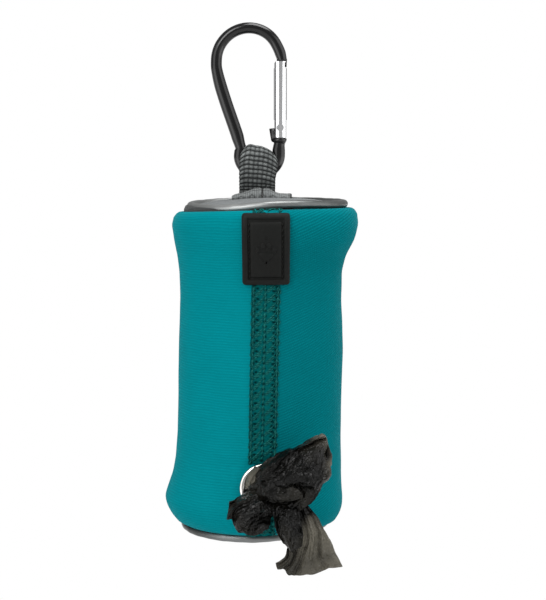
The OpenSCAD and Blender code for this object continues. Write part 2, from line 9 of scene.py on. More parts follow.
import bmesh
import bpy
import numpy as np
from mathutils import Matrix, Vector

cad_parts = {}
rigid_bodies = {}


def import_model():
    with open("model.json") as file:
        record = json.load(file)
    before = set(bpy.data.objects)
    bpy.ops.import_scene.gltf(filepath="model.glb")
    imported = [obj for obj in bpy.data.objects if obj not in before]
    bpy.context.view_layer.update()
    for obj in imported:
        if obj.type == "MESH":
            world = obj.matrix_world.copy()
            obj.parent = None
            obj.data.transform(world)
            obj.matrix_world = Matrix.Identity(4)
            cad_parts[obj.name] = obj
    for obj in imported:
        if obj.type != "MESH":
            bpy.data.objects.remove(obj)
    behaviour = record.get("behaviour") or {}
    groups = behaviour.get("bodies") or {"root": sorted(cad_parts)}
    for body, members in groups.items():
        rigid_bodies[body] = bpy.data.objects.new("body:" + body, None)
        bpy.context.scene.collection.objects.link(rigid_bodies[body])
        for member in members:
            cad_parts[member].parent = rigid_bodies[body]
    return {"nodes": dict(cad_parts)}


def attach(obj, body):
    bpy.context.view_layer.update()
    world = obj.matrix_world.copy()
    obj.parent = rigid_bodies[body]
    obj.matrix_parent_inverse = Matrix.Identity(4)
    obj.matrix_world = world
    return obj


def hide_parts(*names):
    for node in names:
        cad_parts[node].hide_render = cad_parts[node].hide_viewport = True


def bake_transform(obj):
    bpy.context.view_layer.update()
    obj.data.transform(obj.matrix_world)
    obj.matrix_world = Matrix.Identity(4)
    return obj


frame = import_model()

LOG = logging.getLogger("bag_dispenser")
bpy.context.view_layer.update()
MM = 0.001
TURN = 2 * math.pi
UP, FRONT = np.array((0.0, 0.0, 1.0)), np.array((0.0, -1.0, 0.0))
HANG = np.array((-2.95, 0.0, 139.9))
PATTERN = "pattern"
Array = np.ndarray
Number = Union[float, np.ndarray]
Colour = tuple[float, float, float]


# ---- Numbers ---------------------------------------------------------------------------------


def to_row(points: Array) -> Array:
    """Moves points from pouch millimetres to the row frame in metres."""
    return (np.asarray(points, float) - HANG) * MM


def unit(vectors: Array) -> Array:
    """Scales vectors to length one."""
    return vectors / np.maximum(np.linalg.norm(vectors, axis=-1, keepdims=True), 1e-9)


def smooth_step(value: Array, low: float, high: float) -> Array:
    """Zero below low, one above high, and the cubic 3t^2 - 2t^3 between them."""
    t = np.clip((np.asarray(value, float) - low) / (high - low), 0, 1)
    return t * t * (3 - 2 * t)


def value_noise(points: Array, seed: int = 0) -> Array:
    """Smooth noise from -1 to 1: hashed values on a unit lattice, blended with a cubic.

    Args:
        points: Places, with the last axis holding three coordinates.
        seed: Which of the noises to use.

    Returns:
        One value for each place.
    """
    cell = np.floor(points).astype(np.int64)
    part = points - cell
    part = part * part * (3 - 2 * part)
    total = np.zeros(points.shape[:-1])
    for corner in np.ndindex(2, 2, 2):
        key = cell + np.array(corner)
        code = (key @ np.array((374761393, 668265263, 1274126177)) + seed * 974634777) & 0xFFFFFFFF
        code = ((code ^ (code >> 13)) * 1103515245) & 0xFFFFFFFF
        code = code ^ (code >> 16)
        weight = np.prod(np.where(np.array(corner) == 1, part, 1 - part), axis=-1)
        total += ((code & 0xFFFF) / 32767.5 - 1) * weight
    return total


def lengths(line: Array) -> Array:
    """Distance along a line at each of its points."""
    return np.concatenate([[0], np.cumsum(np.linalg.norm(np.diff(line, axis=0), axis=1))])


@dataclass(frozen=True)
class Curve:
    """A smooth curve through a table: the table's straight lines, blurred over a few samples."""

    at: tuple[float, ...]
    value: tuple[float, ...]
    blur: float = 1.5

    def __call__(self, where: Array) -> Array:
        """The curve's value at each place."""
        step = 0.25
        fine = np.arange(min(self.at) - 6 * self.blur, max(self.at) + 6 * self.blur + step, step)
        reach = np.arange(-3 * self.blur, 3 * self.blur + step, step)
        kernel = np.exp(-((reach / self.blur) ** 2))
        blurred = np.convolve(np.interp(fine, self.at, self.value), kernel / kernel.sum(), mode="same")
        return np.interp(where, fine, blurred)


# ---- Surfaces --------------------------------------------------------------------------------


@dataclass
class Skin:
    """A surface: points in pouch millimetres, faces, and a pattern coordinate for each corner."""

    points: Array
    faces: list
    pattern: list

    def __add__(self, other: "Skin") -> "Skin":
        """The two surfaces as one."""
        start = len(self.points)
        return Skin(np.concatenate([self.points, other.points]),
                    self.faces + [tuple(i + start for i in f) for f in other.faces],
                    self.pattern + other.pattern)

    def laid_flat(self, *axes: int) -> "Skin":
        """The surface with two of its own coordinates as its pattern."""
        corners = [i for face in self.faces for i in face]
        return Skin(self.points, self.faces, self.points[corners][:, axes].tolist())


def grid_skin(points: Array, pattern: Optional[Array] = None, wrap_rows: bool = False,
              wrap_cols: bool = False, cap: bool = False) -> Skin:
    """Four-sided faces over a grid of points.

    Args:
        points: The grid, rows by columns by three.
        pattern: Pattern coordinates, with one more row or column where that way wraps.
        wrap_rows: Whether the last row joins the first.
        wrap_cols: Whether the last column joins the first.
        cap: Whether the first and last rows, which wrap, are each closed by one face.

    Returns:
        The surface.
    """
    rows, cols = points.shape[:2]
    if pattern is None:
        u, v = np.meshgrid(np.arange(rows + 1.0), np.arange(cols + 1.0), indexing="ij")
        pattern = np.stack([u, v], -1)
    a, b = np.meshgrid(np.arange(rows if wrap_rows else rows - 1),
                       np.arange(cols if wrap_cols else cols - 1), indexing="ij")
    a1, b1 = (a + 1) % rows, (b + 1) % cols
    quads = np.stack([a * cols + b, a1 * cols + b, a1 * cols + b1, a * cols + b1], -1).reshape(-1, 4)
    corners = np.stack([pattern[a, b], pattern[a + 1, b], pattern[a + 1, b + 1], pattern[a, b + 1]], 2)
    faces = [tuple(q) for q in quads.tolist()]
    where = corners.reshape(-1, 2).tolist()
    if cap:
        for row in (0, rows - 1):
            ring = list(range(row * cols, row * cols + cols))
            faces.append(tuple(ring[::-1] if row == 0 else ring))
            where += pattern[row, :cols][::-1 if row == 0 else 1].tolist()
    return Skin(points.reshape(-1, 3), faces, where)


def swept_skin(paths: Array, radius: Number, across: Array, sides: int = 8,
               flat: Number = 1.0, closed: bool = False) -> Skin:
    """Round bars along paths: each ring is path + r (cos a * side + flat * sin a * out).

    Args:
        paths: Paths by points by three.
        radius: One radius, or one for each point of a path.
        across: A direction that is never along a path, as one vector or one for each point.
        sides: Faces round a bar.
        flat: Thickness in the second direction as a share of the first, as one or one for each point.
        closed: Whether each path joins its own start.

    Returns:
        All the bars as one surface, with closed ends.
    """
    ahead = unit(np.roll(paths, -1, 1) - np.roll(paths, 1, 1) if closed else np.gradient(paths, axis=1))
    side = unit(np.cross(ahead, np.broadcast_to(across, paths.shape)))
    out = np.cross(side, ahead)
    angle = np.arange(sides) * TURN / sides
    r = np.broadcast_to(radius, paths.shape[:2])[..., None, None]
    flat = np.broadcast_to(flat, paths.shape[:2])[..., None, None]
    rings = paths[:, :, None] + r * (np.cos(angle)[:, None] * side[:, :, None]
                                     + flat * np.sin(angle)[:, None] * out[:, :, None])
    turn = np.arange(sides + 1) * TURN / sides * float(np.mean(radius))
    points, faces, where, start = [], [], [], 0
    for path, ring in zip(paths, rings):
        along = lengths(path)
        pattern = np.stack(np.meshgrid(np.append(along, along[-1] + 1e-3), turn, indexing="ij"), -1)
        one = grid_skin(ring, pattern, wrap_rows=closed, wrap_cols=True, cap=not closed)
        points.append(one.points)
        faces += [tuple(i + start for i in f) for f in one.faces]
        where += one.pattern
        start += len(one.points)
    return Skin(np.concatenate(points), faces, where)


def turned_skin(profile: Sequence[Sequence[float]], centre: Sequence[float], axis: str,
                steps: int = 96, closed: bool = True) -> Skin:
    """A profile of (radius, place along the axis) turned round an axis through a centre.

    Args:
        profile: Points of the profile, from pole to pole or round a ring.
        centre: A point of the axis.
        axis: The axis, "y" or "z".
        steps: Faces round the axis.
        closed: Whether the profile is a ring that joins its own start.

    Returns:
        The surface.
    """
    ring = np.asarray(profile, float)
    angle = np.arange(steps) * TURN / steps
    flat = ring[:, 0, None, None] * np.stack([np.cos(angle), np.sin(angle)], -1)[None]
    up = np.broadcast_to(ring[:, 1, None], flat.shape[:2])
    order = (flat[..., 0], up, flat[..., 1]) if axis == "y" else (flat[..., 0], flat[..., 1], up)
    points = np.stack(order, -1) + np.array(centre, float)
    round_it = np.arange(steps + 1) * TURN / steps * float(ring[:, 0].mean())
    pattern = np.stack(np.meshgrid(np.append(lengths(ring), 0), round_it, indexing="ij"), -1)
    return grid_skin(points, pattern, wrap_rows=closed, wrap_cols=True, cap=not closed)


def arc_skin(profile: Sequence[Sequence[float]], low: float, high: float, shift: float = 0.0,
             lift: Optional[Callable[[Array], Array]] = None, steps: int = 120) -> Skin:
    """A closed profile of (radius, height) carried round the pouch's axis between two angles.

    Args:
        profile: The profile's corners, in order.
        low: First angle in degrees from +x.
        high: Last angle in degrees.
        shift: How far the axis stands to the right.
        lift: A function of the angle in degrees that raises the profile.
        steps: Faces along the arc.

    Returns:
        The surface, with closed ends.
    """
    ring = np.asarray(profile, float)
    degrees = np.linspace(low, high, steps)
    angle = np.radians(degrees)
    rise = np.zeros(steps) if lift is None else lift(degrees)
    points = np.stack([shift + np.cos(angle)[:, None] * ring[:, 0], np.sin(angle)[:, None] * ring[:, 0],
                       ring[:, 1] + rise[:, None]], -1)
    along = np.append(angle, angle[-1]) * float(ring[:, 0].mean())
    pattern = np.stack(np.meshgrid(along, lengths(np.append(ring, ring[:1], 0)), indexing="ij"), -1)
    return grid_skin(points, pattern, wrap_cols=True, cap=True)


def plate_skin(outline: Array, low: float, high: float, hole: Optional[Array] = None) -> Skin:
    """A flat outline in x and z given a thickness along y, with or without a hole of as many points.

    Args:
        outline: The outline's corners, in order.
        low: The front face's y.
        high: The back face's y.
        hole: The hole's corners, in the same order.

    Returns:
        The surface.
    """
    rings = [(outline, low), (outline, high)] + ([] if hole is None else [(hole, high), (hole, low)])
    points = np.stack([np.stack([ring[:, 0], np.full(len(ring), y), ring[:, 1]], -1) for ring, y in rings])
    return grid_skin(points, wrap_rows=hole is not None, wrap_cols=True, cap=hole is None)


def make_object(name: str, skin: Skin, material: bpy.types.Material, outward: bool = True) -> bpy.types.Object:
    """Puts a surface into a mesh object with its pattern map and material.

    Args:
        name: The object's name.
        skin: The surface in pouch millimetres.
        material: Its finish.
        outward: Whether its faces are turned to point outwards.

    Returns:
        The object, at the origin, linked to the scene.
    """
    mesh = bpy.data.meshes.new(name)
    mesh.from_pydata(to_row(skin.points).tolist(), [], skin.faces)
    layer = mesh.uv_layers.new(name=PATTERN)
    layer.uv.foreach_set("vector", np.asarray(skin.pattern, np.float32).ravel())
    if outward:
        work = bmesh.new()
        work.from_mesh(mesh)
        bmesh.ops.recalc_face_normals(work, faces=work.faces)
        work.to_mesh(mesh)
        work.free()
    mesh.polygons.foreach_set("use_smooth", np.full(len(mesh.polygons), True))
    mesh.materials.append(material)
    mesh.update()
    piece = bpy.data.objects.new(name, mesh)
    bpy.context.scene.collection.objects.link(piece)
    return piece


def report(piece: bpy.types.Object, slot: str, *nodes: str, body: str = "") -> bpy.types.Object:
    """Ties a finished piece to its body, hides the nodes it stands for, and logs it."""
    if body:
        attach(piece, body)
    if nodes:
        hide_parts(*nodes)
    LOG.info("%s: %d faces on %s", piece.name, len(piece.data.polygons), body or "two bodies")
    return piece


# ---- Finishes --------------------------------------------------------------------------------


class Wire:
    """A value running through a node tree: sums and products of wires place Math nodes."""

    def __init__(self, tree: "Tree", socket: bpy.types.NodeSocket) -> None:
        """Takes the tree and the socket that the value comes out of."""
        self.tree, self.socket = tree, socket

    def do(self, operation: str, *others: object) -> "Wire":
        """The result of a Math node on this value and others."""
        inputs = dict(enumerate((self, *others)))
        return self.tree.wire("ShaderNodeMath", inputs, operation=operation)

    def __add__(self, other: object) -> "Wire":
        """The sum."""
        return self.do("ADD", other)

    def __sub__(self, other: object) -> "Wire":
        """The difference."""
        return self.do("SUBTRACT", other)

    def __mul__(self, other: object) -> "Wire":
        """The product."""
        return self.do("MULTIPLY", other)

    def __truediv__(self, other: object) -> "Wire":
        """The quotient."""
        return self.do("DIVIDE", other)

    def sine(self) -> "Wire":
        """The sine of an angle in radians."""
        return self.do("SINE")

    def size(self) -> "Wire":
        """The value without its sign."""
        return self.do("ABSOLUTE")

    def ramp(self, low: float, high: float, to_low: float = 0.0, to_high: float = 1.0) -> "Wire":
        """The value carried from one range to another, and kept inside it."""
        inputs = {0: self, 1: low, 2: high, 3: to_low, 4: to_high}
        return self.tree.wire("ShaderNodeMapRange", inputs)


class Tree:
    """Short hand for placing and joining the nodes of one material or group."""

    def __init__(self, tree: bpy.types.NodeTree) -> None:
        """Takes the tree to work on."""
        self.tree = tree

    def fill(self, socket: bpy.types.NodeSocket, value: object) -> None:
        """Links a wire to a socket, or sets a plain value on it."""
        if isinstance(value, Wire):
            self.tree.links.new(value.socket, socket)
        else:
            opaque = isinstance(value, tuple) and socket.type == "RGBA"
            socket.default_value = (*value, 1.0) if opaque else value

    def add(self, kind: str, inputs: Optional[dict] = None, **settings: object) -> bpy.types.Node:
        """Places a node, with its settings and with values or wires for its inputs."""
        node = self.tree.nodes.new(kind)
        for name, value in settings.items():
            setattr(node, name, value)
        for key, value in (inputs or {}).items():
            self.fill(node.inputs[key], value)
        return node

    def wire(self, kind: str, inputs: Optional[dict] = None, output: Union[int, str] = 0,
             **settings: object) -> Wire:
        """Places a node and gives one of its outputs."""
        return Wire(self, self.add(kind, inputs, **settings).outputs[output])

    def parts(self, vector: Wire) -> tuple[Wire, ...]:
        """The three parts of a vector."""
        return tuple(Wire(self, part) for part in self.add("ShaderNodeSeparateXYZ", {0: vector}).outputs)

    def vector(self, **parts: Wire) -> Wire:
        """A vector from its named parts."""
        return self.wire("ShaderNodeCombineXYZ", parts)

    def noise(self, place: Wire, scale: Union[float, Wire], detail: float, rough: float = 0.5,
              output: int = 0) -> Wire:
        """A noise texture's value, or its colour."""
        inputs = {"Vector": place, "Scale": scale, "Detail": detail, "Roughness": rough}
        return self.wire("ShaderNodeTexNoise", inputs, output)

    def mix(self, factor: Wire, first: object, second: object) -> Wire:
        """A mixed colour."""
        return self.wire("ShaderNodeMix", {0: factor, 6: first, 7: second}, 2, data_type="RGBA")


class Group(Tree):
    """A shader node group under way, whose outputs are all plain values."""

    def __init__(self, name: str, **inputs: float) -> None:
        """Starts the group with a Vector input and the named values."""
        super().__init__(bpy.data.node_groups.new(name, "ShaderNodeTree"))
        self.declare("Vector", "INPUT", "NodeSocketVector")
        for label, value in inputs.items():
            self.declare(label, "INPUT").default_value = value
        self.given = {out.name: Wire(self, out) for out in self.add("NodeGroupInput").outputs}
        self.place = self.given["Vector"]

    def declare(self, label: str, way: str, kind: str = "NodeSocketFloat") -> object:
        """Gives the group one more input or output."""
        return self.tree.interface.new_socket(label, in_out=way, socket_type=kind)

    def closed(self, **outputs: Wire) -> bpy.types.NodeTree:
        """Ends the group with its named outputs."""
        for label in outputs:
            self.declare(label, "OUTPUT")
        self.add("NodeGroupOutput", outputs)
        return self.tree


@cache
def weave_group() -> bpy.types.NodeTree:
    """Plain weave: warp and weft ridges |sin|, each on top in every other crossing."""
    group = Group("weave", Across=1.0, Along=1.0, Fuzz=0.1)
    shift = (group.noise(group.place, 1.7, 3.0) - 0.5) * group.given["Fuzz"]
    x, y, _ = group.parts(group.place)
    u, v = (x + shift) * group.given["Across"], (y + shift) * group.given["Along"]
    ridge_u, ridge_v = (u * math.pi).sine().size(), (v * math.pi).sine().size()
    over = (u.do("FLOOR") + v.do("FLOOR")).size().do("MODULO", 2.0)
    under = over * -1.0 + 1.0
    sunk = 0.35
    return group.closed(Height=ridge_u * (ridge_v + sunk) * over + ridge_v * (ridge_u + sunk) * under)


@cache
def rib_group() -> bpy.types.NodeTree:
    """Knit ribs: a wave across a tilted direction, broken along its length by the knit's loops."""
    group = Group("ribs", Pitch=0.73, Lift=0.0, Loop=0.55)
    wobble = group.noise(group.place, 0.11, 2.0) - 0.5
    x, y, _ = group.parts(group.place)
    across = (y - group.given["Lift"] + wobble) / group.given["Pitch"]
    rib = (across * TURN).sine() * 0.5 + 0.5
    loops = x / group.given["Loop"] + across.do("FLOOR") * 0.5
    loop = (loops * TURN).sine() * 0.5 + 0.5
    return group.closed(Stitch=rib * loop.ramp(0.0, 1.0, 0.6, 1.0))


@cache
def grain_group() -> bpy.types.NodeTree:
    """Grain: fine noise and a slow cloud, both kept from zero to one."""
    group = Group("grain", Scale=900.0, Stretch=1.0)
    x, y, z = group.parts(group.place)
    spot = group.vector(X=x, Y=y, Z=z * group.given["Stretch"])
    fine = group.noise(spot, group.given["Scale"], 5.0, 0.65)
    return group.closed(Fine=fine.ramp(0.3, 0.7), Slow=group.noise(group.place, 90.0, 3.0).ramp(0.3, 0.7))


@cache
def pit_group() -> bpy.types.NodeTree:
    """A column of needle holes: a soft dark spot at each pitch, 1 at its middle and 0 outside it."""
    group = Group("pits", Column=0.0, Phase=0.0, Pitch=2.8)
    shift = group.noise(group.place, 0.9, 2.0) * 0.9 - 0.45
    x, y, _ = group.parts(group.place)
    u = (x - group.given["Column"] + shift) / 0.62
    turns = (y + group.given["Phase"]) / group.given["Pitch"]
    v = (turns.do("FRACT") - 0.5) * 3.1
    return group.closed(Mask=(u * u + v * v).do("SQRT").ramp(0.25, 1.15, 1.0, 0.0))


class Look(Tree):
    """One material under way: its Principled shader and its two sets of coordinates."""

    def __init__(self, name: str, **sockets: object) -> None:
        """Makes the material, with plain values on the shader's own sockets."""
        self.material = bpy.data.materials.new(name)
        self.material.use_nodes = True
        super().__init__(self.material.node_tree)
        self.shader = self.tree.nodes["Principled BSDF"]
        for key, value in sockets.items():
            self.fill(self.shader.inputs[key.replace("_", " ")], value)
        self.objects = self.wire("ShaderNodeTexCoord", output="Object")
        self.pattern = self.wire("ShaderNodeUVMap", output="UV", uv_map=PATTERN)

    def group(self, tree: bpy.types.NodeTree, **inputs: object) -> dict[str, Wire]:
        """Places a shared group and gives its outputs by name."""
        node = self.add("ShaderNodeGroup", inputs, node_tree=tree)
        return {out.name: Wire(self, out) for out in node.outputs}

    def grain(self, scale: float, stretch: float = 1.0) -> tuple[Wire, Wire]:
        """Fine noise and a slow cloud over the object's own coordinates."""
        outputs = self.group(grain_group(), Vector=self.objects, Scale=scale, Stretch=stretch)
        return outputs["Fine"], outputs["Slow"]

    def feed(self, socket: str, value: Wire) -> None:
        """Links a wire into one of the shader's sockets."""
        self.fill(self.shader.inputs[socket], value)

    def done(self, colour: Wire, height: Wire, distance: float, strength: float) -> bpy.types.Material:
        """Feeds the base colour and a bump of a distance in metres, and gives the material."""
        self.feed("Base Color", colour)
        inputs = {"Height": height, "Distance": distance, "Strength": strength}
        self.feed("Normal", self.wire("ShaderNodeBump", inputs))
        return self.material


@dataclass(frozen=True)
class RibKnit:
    """Neoprene faced with a fine ribbed knit: loops in height, with painted shade in the furrows.

    The pattern runs round the sleeve from its back. Right of the seam the ribs climb by the lift, and a painted
    shade darkens the knit towards black, less towards the rim and the foot.
    """

    light: Colour = (0.001, 0.224, 0.259)
    dark: Colour = (0.0007, 0.112, 0.131)
    # Colour of the painted shade right of the seam.
    black: Colour = (0.0, 0.0, 0.0)
    pitch: float = 0.745
    girth: float = 147.03
    seam: float = 110.27
    lift: float = 16.0
    # Strength of the painted shade right of the seam.
    painted_shade: float = 0.3

    def build(self) -> bpy.types.Material:
        """The finish, on the piece's pattern map in millimetres."""
        look = Look("rib_knit", Roughness=1.0, Specular_IOR_Level=0.0, Sheen_Weight=0.14,
                    Sheen_Roughness=0.3, Sheen_Tint=(0.4, 0.9, 0.98))
        round_it, up, _ = look.parts(look.pattern)
        turn = ((round_it - self.seam) / self.girth).do("FRACT")
        back = turn.ramp(0.36, 0.72, 1.0, 0.0)
        climb = turn.ramp(0.0, 0.3) * back * self.lift
        ribs = look.group(rib_group(), Vector=look.pattern, Pitch=self.pitch, Lift=climb)
        fine, slow = look.grain(1500.0)
        furrow = ribs["Stitch"] * fine.ramp(0, 1, 0.45, 1.0)
        cloud = look.mix(slow.ramp(0, 1, 0.0, 0.12), self.light, self.dark)
        # Painted shade: right of the seam the knit is darkened towards black, lighter towards the rim and the
        # foot.
        right_of_seam = turn.ramp(0.0, 0.012) * back
        painted_shade = right_of_seam * up.ramp(76, 92, self.painted_shade, 0.4 * self.painted_shade) * up.ramp(8, 26, 0.55, 1.0)
        # Painted shade in the rib furrows, deeper right of the seam.
        depth = furrow.ramp(0.05, 0.75, 1.0, 0.0) * (right_of_seam * 0.5 + 0.34)
        return look.done(look.mix(depth, look.mix(painted_shade, cloud, self.black), self.dark), furrow, 0.00014, 0.6)


@dataclass(frozen=True)
class StitchedBand:
    """The flatlock seam's cover: dark knit with a column of needle holes at each row of stitches; the holes and
    the band's two sides are darkened with painted shade.
    """

    base: Colour = (0.0006, 0.094, 0.104)
    deep: Colour = (0.0004, 0.013, 0.015)
    green: Colour = (0.004, 0.082, 0.062)
    holes: tuple[tuple[float, float], ...] = ((-3.1, 0.3), (-2.2, 1.2), (-0.1, 1.6), (2.3, 1.9), (3.0, 0.9))
    pitch: float = 1.42

    def build(self) -> bpy.types.Material:
        """The finish, on the band's own width and length in millimetres."""
        look = Look("stitched_band", Roughness=1.0, Specular_IOR_Level=0.0)
        columns = [look.group(pit_group(), Vector=look.pattern, Column=column, Phase=phase, Pitch=self.pitch)
                   for column, phase in self.holes]
        holes = reduce(lambda one, other: one.do("MAXIMUM", other), [column["Mask"] for column in columns])
        mottle = look.noise(look.pattern, 1.3, 4.0).ramp(0.35, 0.65)
        colour = look.mix(mottle * 0.55, self.base, self.green)
        # Painted shade along both sides of the band.
        edge = look.parts(look.pattern)[0].size().ramp(3.0, 3.9, 0.0, 0.45)
        # Painted shade in the needle holes, and the side shade above.
        colour = look.mix(holes, look.mix(edge, colour, self.deep), self.deep)
        return look.done(colour, mottle - holes, 0.00025, 0.7)


@dataclass(frozen=True)
class BeadedWebbing:
    """Thick webbing: rows of long yarn beads, pale on their tops with painted shade in the furrows between, and
    painted shade lower down towards the lid.
    """

    pale: Colour = (0.27, 0.288, 0.284)
    deep: Colour = (0.017, 0.0185, 0.0185)
    row: float = 1.21
    column: float = 1.25

    def build(self) -> bpy.types.Material:
        """The finish, on the band's width and length in millimetres."""
        look = Look("webbing", Roughness=0.85, Specular_IOR_Level=0.15)
        x, y, _ = look.parts(look.pattern)
        rows, columns = y / self.row, x / self.column
        bead = (rows * math.pi).sine().size() * ((columns * math.pi).sine().size() * 0.6 + 0.4)
        cell = look.vector(X=columns.do("FLOOR"), Y=rows.do("FLOOR"))
        chance = look.wire("ShaderNodeTexWhiteNoise", {"Vector": cell}, "Value")
        fine, _ = look.grain(2200.0)
        # Painted shade: the beads are darker in their furrows and darker lower down, towards the lid.
        height = look.parts(look.objects)[2]
        tone = (bead.ramp(0.15, 0.95) * chance.ramp(0, 1, 0.5, 1.0) * height.ramp(-0.043, -0.033, 0.72, 1.0)
                * fine.ramp(0, 1, 0.7, 1.0))
        return look.done(look.mix(tone, self.deep, self.pale), fine * 0.3 + bead, 0.00025, 0.8)


@dataclass(frozen=True)
class Weave:
    """Woven cloth: a yarn colour and a furrow colour that paints shade between the yarns, yarns per millimetre,
    a burnt edge with painted shade along the slit, or painted shade round one bright patch.
    """

    name: str
    yarn: Colour
    furrow: Colour
    across: float
    along: float
    depth: float = 0.12
    rough: float = 0.8
    sheen: float = 0.15
    specular: float = 0.3
    burnt: float = 0.0
    slit: float = 0.0
    metal: float = 0.0
    # Strength of the painted shade that leaves one bright patch on the piping.
    wear_and_shade: float = 0.0
    # Colour of the burnt end, also used as painted shade along the slit.
    scorch_and_slit_shade: Colour = (0.012, 0.012, 0.011)
    # Colour of that painted shade.
    painted_shade_colour: Colour = (0.03, 0.034, 0.034)

    def build(self) -> bpy.types.Material:
        """The finish, on the piece's pattern map in millimetres."""
        look = Look(self.name, Roughness=self.rough, Specular_IOR_Level=self.specular,
                    Sheen_Weight=self.sheen, Sheen_Roughness=0.5, Metallic=self.metal)
        weave = look.group(weave_group(), Vector=look.pattern, Across=self.across, Along=self.along,
                           Fuzz=0.12)["Height"]
        fine, _ = look.grain(2600.0)
        x, _, z = look.parts(look.objects)
        # Painted shade: the furrows between the yarns take the darker colour.
        colour = look.mix(weave.ramp(0.1, 0.9), self.furrow, self.yarn)
        colour = look.mix(fine.ramp(0, 1, 0.0, 0.3), colour, self.furrow)
        if self.burnt:
            # Painted shade: a dark line along the slit between the two tapes, in the same colour as the burnt
            # end.
            cut = (x - self.slit).size().ramp(0.00014, 0.0003, 1.0, 0.0)
            dark = x.ramp(self.burnt - 0.0009, self.burnt).do("MAXIMUM", cut)
            colour = look.mix(dark, colour, self.scorch_and_slit_shade)
        if self.wear_and_shade:
            # Painted shade: the piping is darkened towards its right and its far left, so only the part left of
            # the middle stays bright, and the low ring is darkened all round.
            right = x.ramp(-0.004, 0.017).do("MAXIMUM", z.ramp(-0.12, -0.13, 0.0, 0.7))
            sides = x.ramp(-0.017, -0.007, 0.6, 0.0) + right
            colour = look.mix(sides * self.wear_and_shade, colour, self.painted_shade_colour)
        return look.done(colour, fine * 0.25 + weave, self.depth * MM, 0.8)


@dataclass(frozen=True)
class Thread:
    """Spun thread: a two-tone twist along each stitch, with fuzz."""

    name: str
    light: Colour
    dark: Colour
    twist: float = 6.4
    spin: float = 9.0

    def build(self) -> bpy.types.Material:
        """The finish, on the stitch's own length and girth in millimetres."""
        look = Look(self.name, Roughness=0.85, Specular_IOR_Level=0.1)
        x, y, _ = look.parts(look.pattern)
        ply = (x * self.twist + y * self.spin).sine() * 0.5 + 0.5
        _, slow = look.grain(700.0)
        return look.done(look.mix(ply * slow.ramp(0, 1, 0.45, 1.0), self.dark, self.light), ply, 0.00004, 0.7)


@dataclass(frozen=True)
class Metal:
    """Bare or plated metal: long fine scratches and clouded polish, between two roughnesses."""

    name: str
    colour: Colour
    low: float
    high: float
    scale: float = 900.0
    stretch: float = 0.12
    dent: float = 0.00001

    def build(self) -> bpy.types.Material:
        """The finish, on object coordinates."""
        look = Look(self.name, Metallic=1.0)
        fine, slow = look.grain(self.scale, self.stretch)
        wear_and_shade = slow * 0.35 + fine * 0.65
        look.feed("Roughness", wear_and_shade.ramp(0, 1, self.low, self.high))
        dull = tuple(c * 0.8 for c in self.colour)
        return look.done(look.mix(wear_and_shade.ramp(0.3, 1.0, 0.0, 0.6), self.colour, dull), fine, self.dent, 0.35)


@dataclass(frozen=True)
class Lacquer:
    """Dark enamel, anodising or moulded plastic: a smooth dielectric with faint orange peel."""

    name: str
    colour: Colour
    rough: float
    coat: float = 0.0
    peel: float = 0.00001
    scale: float = 500.0
    specular: float = 0.5

    def build(self) -> bpy.types.Material:
        """The finish, on object coordinates."""
        look = Look(self.name, Coat_Weight=self.coat, Coat_Roughness=0.08, Specular_IOR_Level=self.specular)
        fine, slow = look.grain(self.scale)
        pale = tuple(min(1.0, c * 1.5 + 0.004) for c in self.colour)
        look.feed("Roughness", fine.ramp(0, 1, self.rough * 0.85, self.rough * 1.2))
        return look.done(look.mix(slow.ramp(0, 1, 0.0, 0.4), self.colour, pale), fine, self.peel, 0.5)


@dataclass(frozen=True)
class Film:
    """Thin dark plastic film: brown-black, with painted light where a single layer hangs and light shows
    through it, with fine creases that catch light.
    """

    dark: Colour = (0.002, 0.002, 0.0017)
    # Colour of the painted light seen through a single layer.
    lit_through: Colour = (0.215, 0.199, 0.158)
    sway: tuple[float, float, float] = (0.0022, 0.0022, 0.0022)
    cells: tuple[tuple[float, float], ...] = ((260.0, 1.0), (620.0, 0.4))

    def build(self) -> bpy.types.Material:
        """The finish, on object coordinates and the piece's attribute of painted light through one layer."""
        look = Look("bag_film", Specular_IOR_Level=0.15)
        creases, drift = (look.noise(look.objects, 420.0, 3.0, 0.6, output) for output in (0, 1))
        drift = look.wire("ShaderNodeVectorMath", {0: drift, 1: self.sway}, operation="MULTIPLY")
        bent = look.wire("ShaderNodeVectorMath", {0: look.objects, 1: drift})
        coarse, small = (look.wire("ShaderNodeTexVoronoi", {"Vector": bent, "Scale": scale},
                                   feature="DISTANCE_TO_EDGE").ramp(0.0, 0.32) * share
                         for scale, share in self.cells)
        lit_through = look.wire("ShaderNodeAttribute", output="Fac", attribute_name="lit_through_share")
        _, slow = look.grain(300.0)
        # Painted light: paler brown-grey where a single layer hangs and light shows through; the slow cloud is
        # a faint tone.
        pale = slow.ramp(0.4, 0.75, 0.0, 0.05).do("MAXIMUM", lit_through * slow.ramp(0.1, 0.9, 0.45, 1.0))
        look.feed("Roughness", creases.ramp(0.48, 0.62, 0.24, 0.08))
        return look.done(look.mix(pale, self.dark, self.lit_through), coarse + small, 0.0007, 0.6)


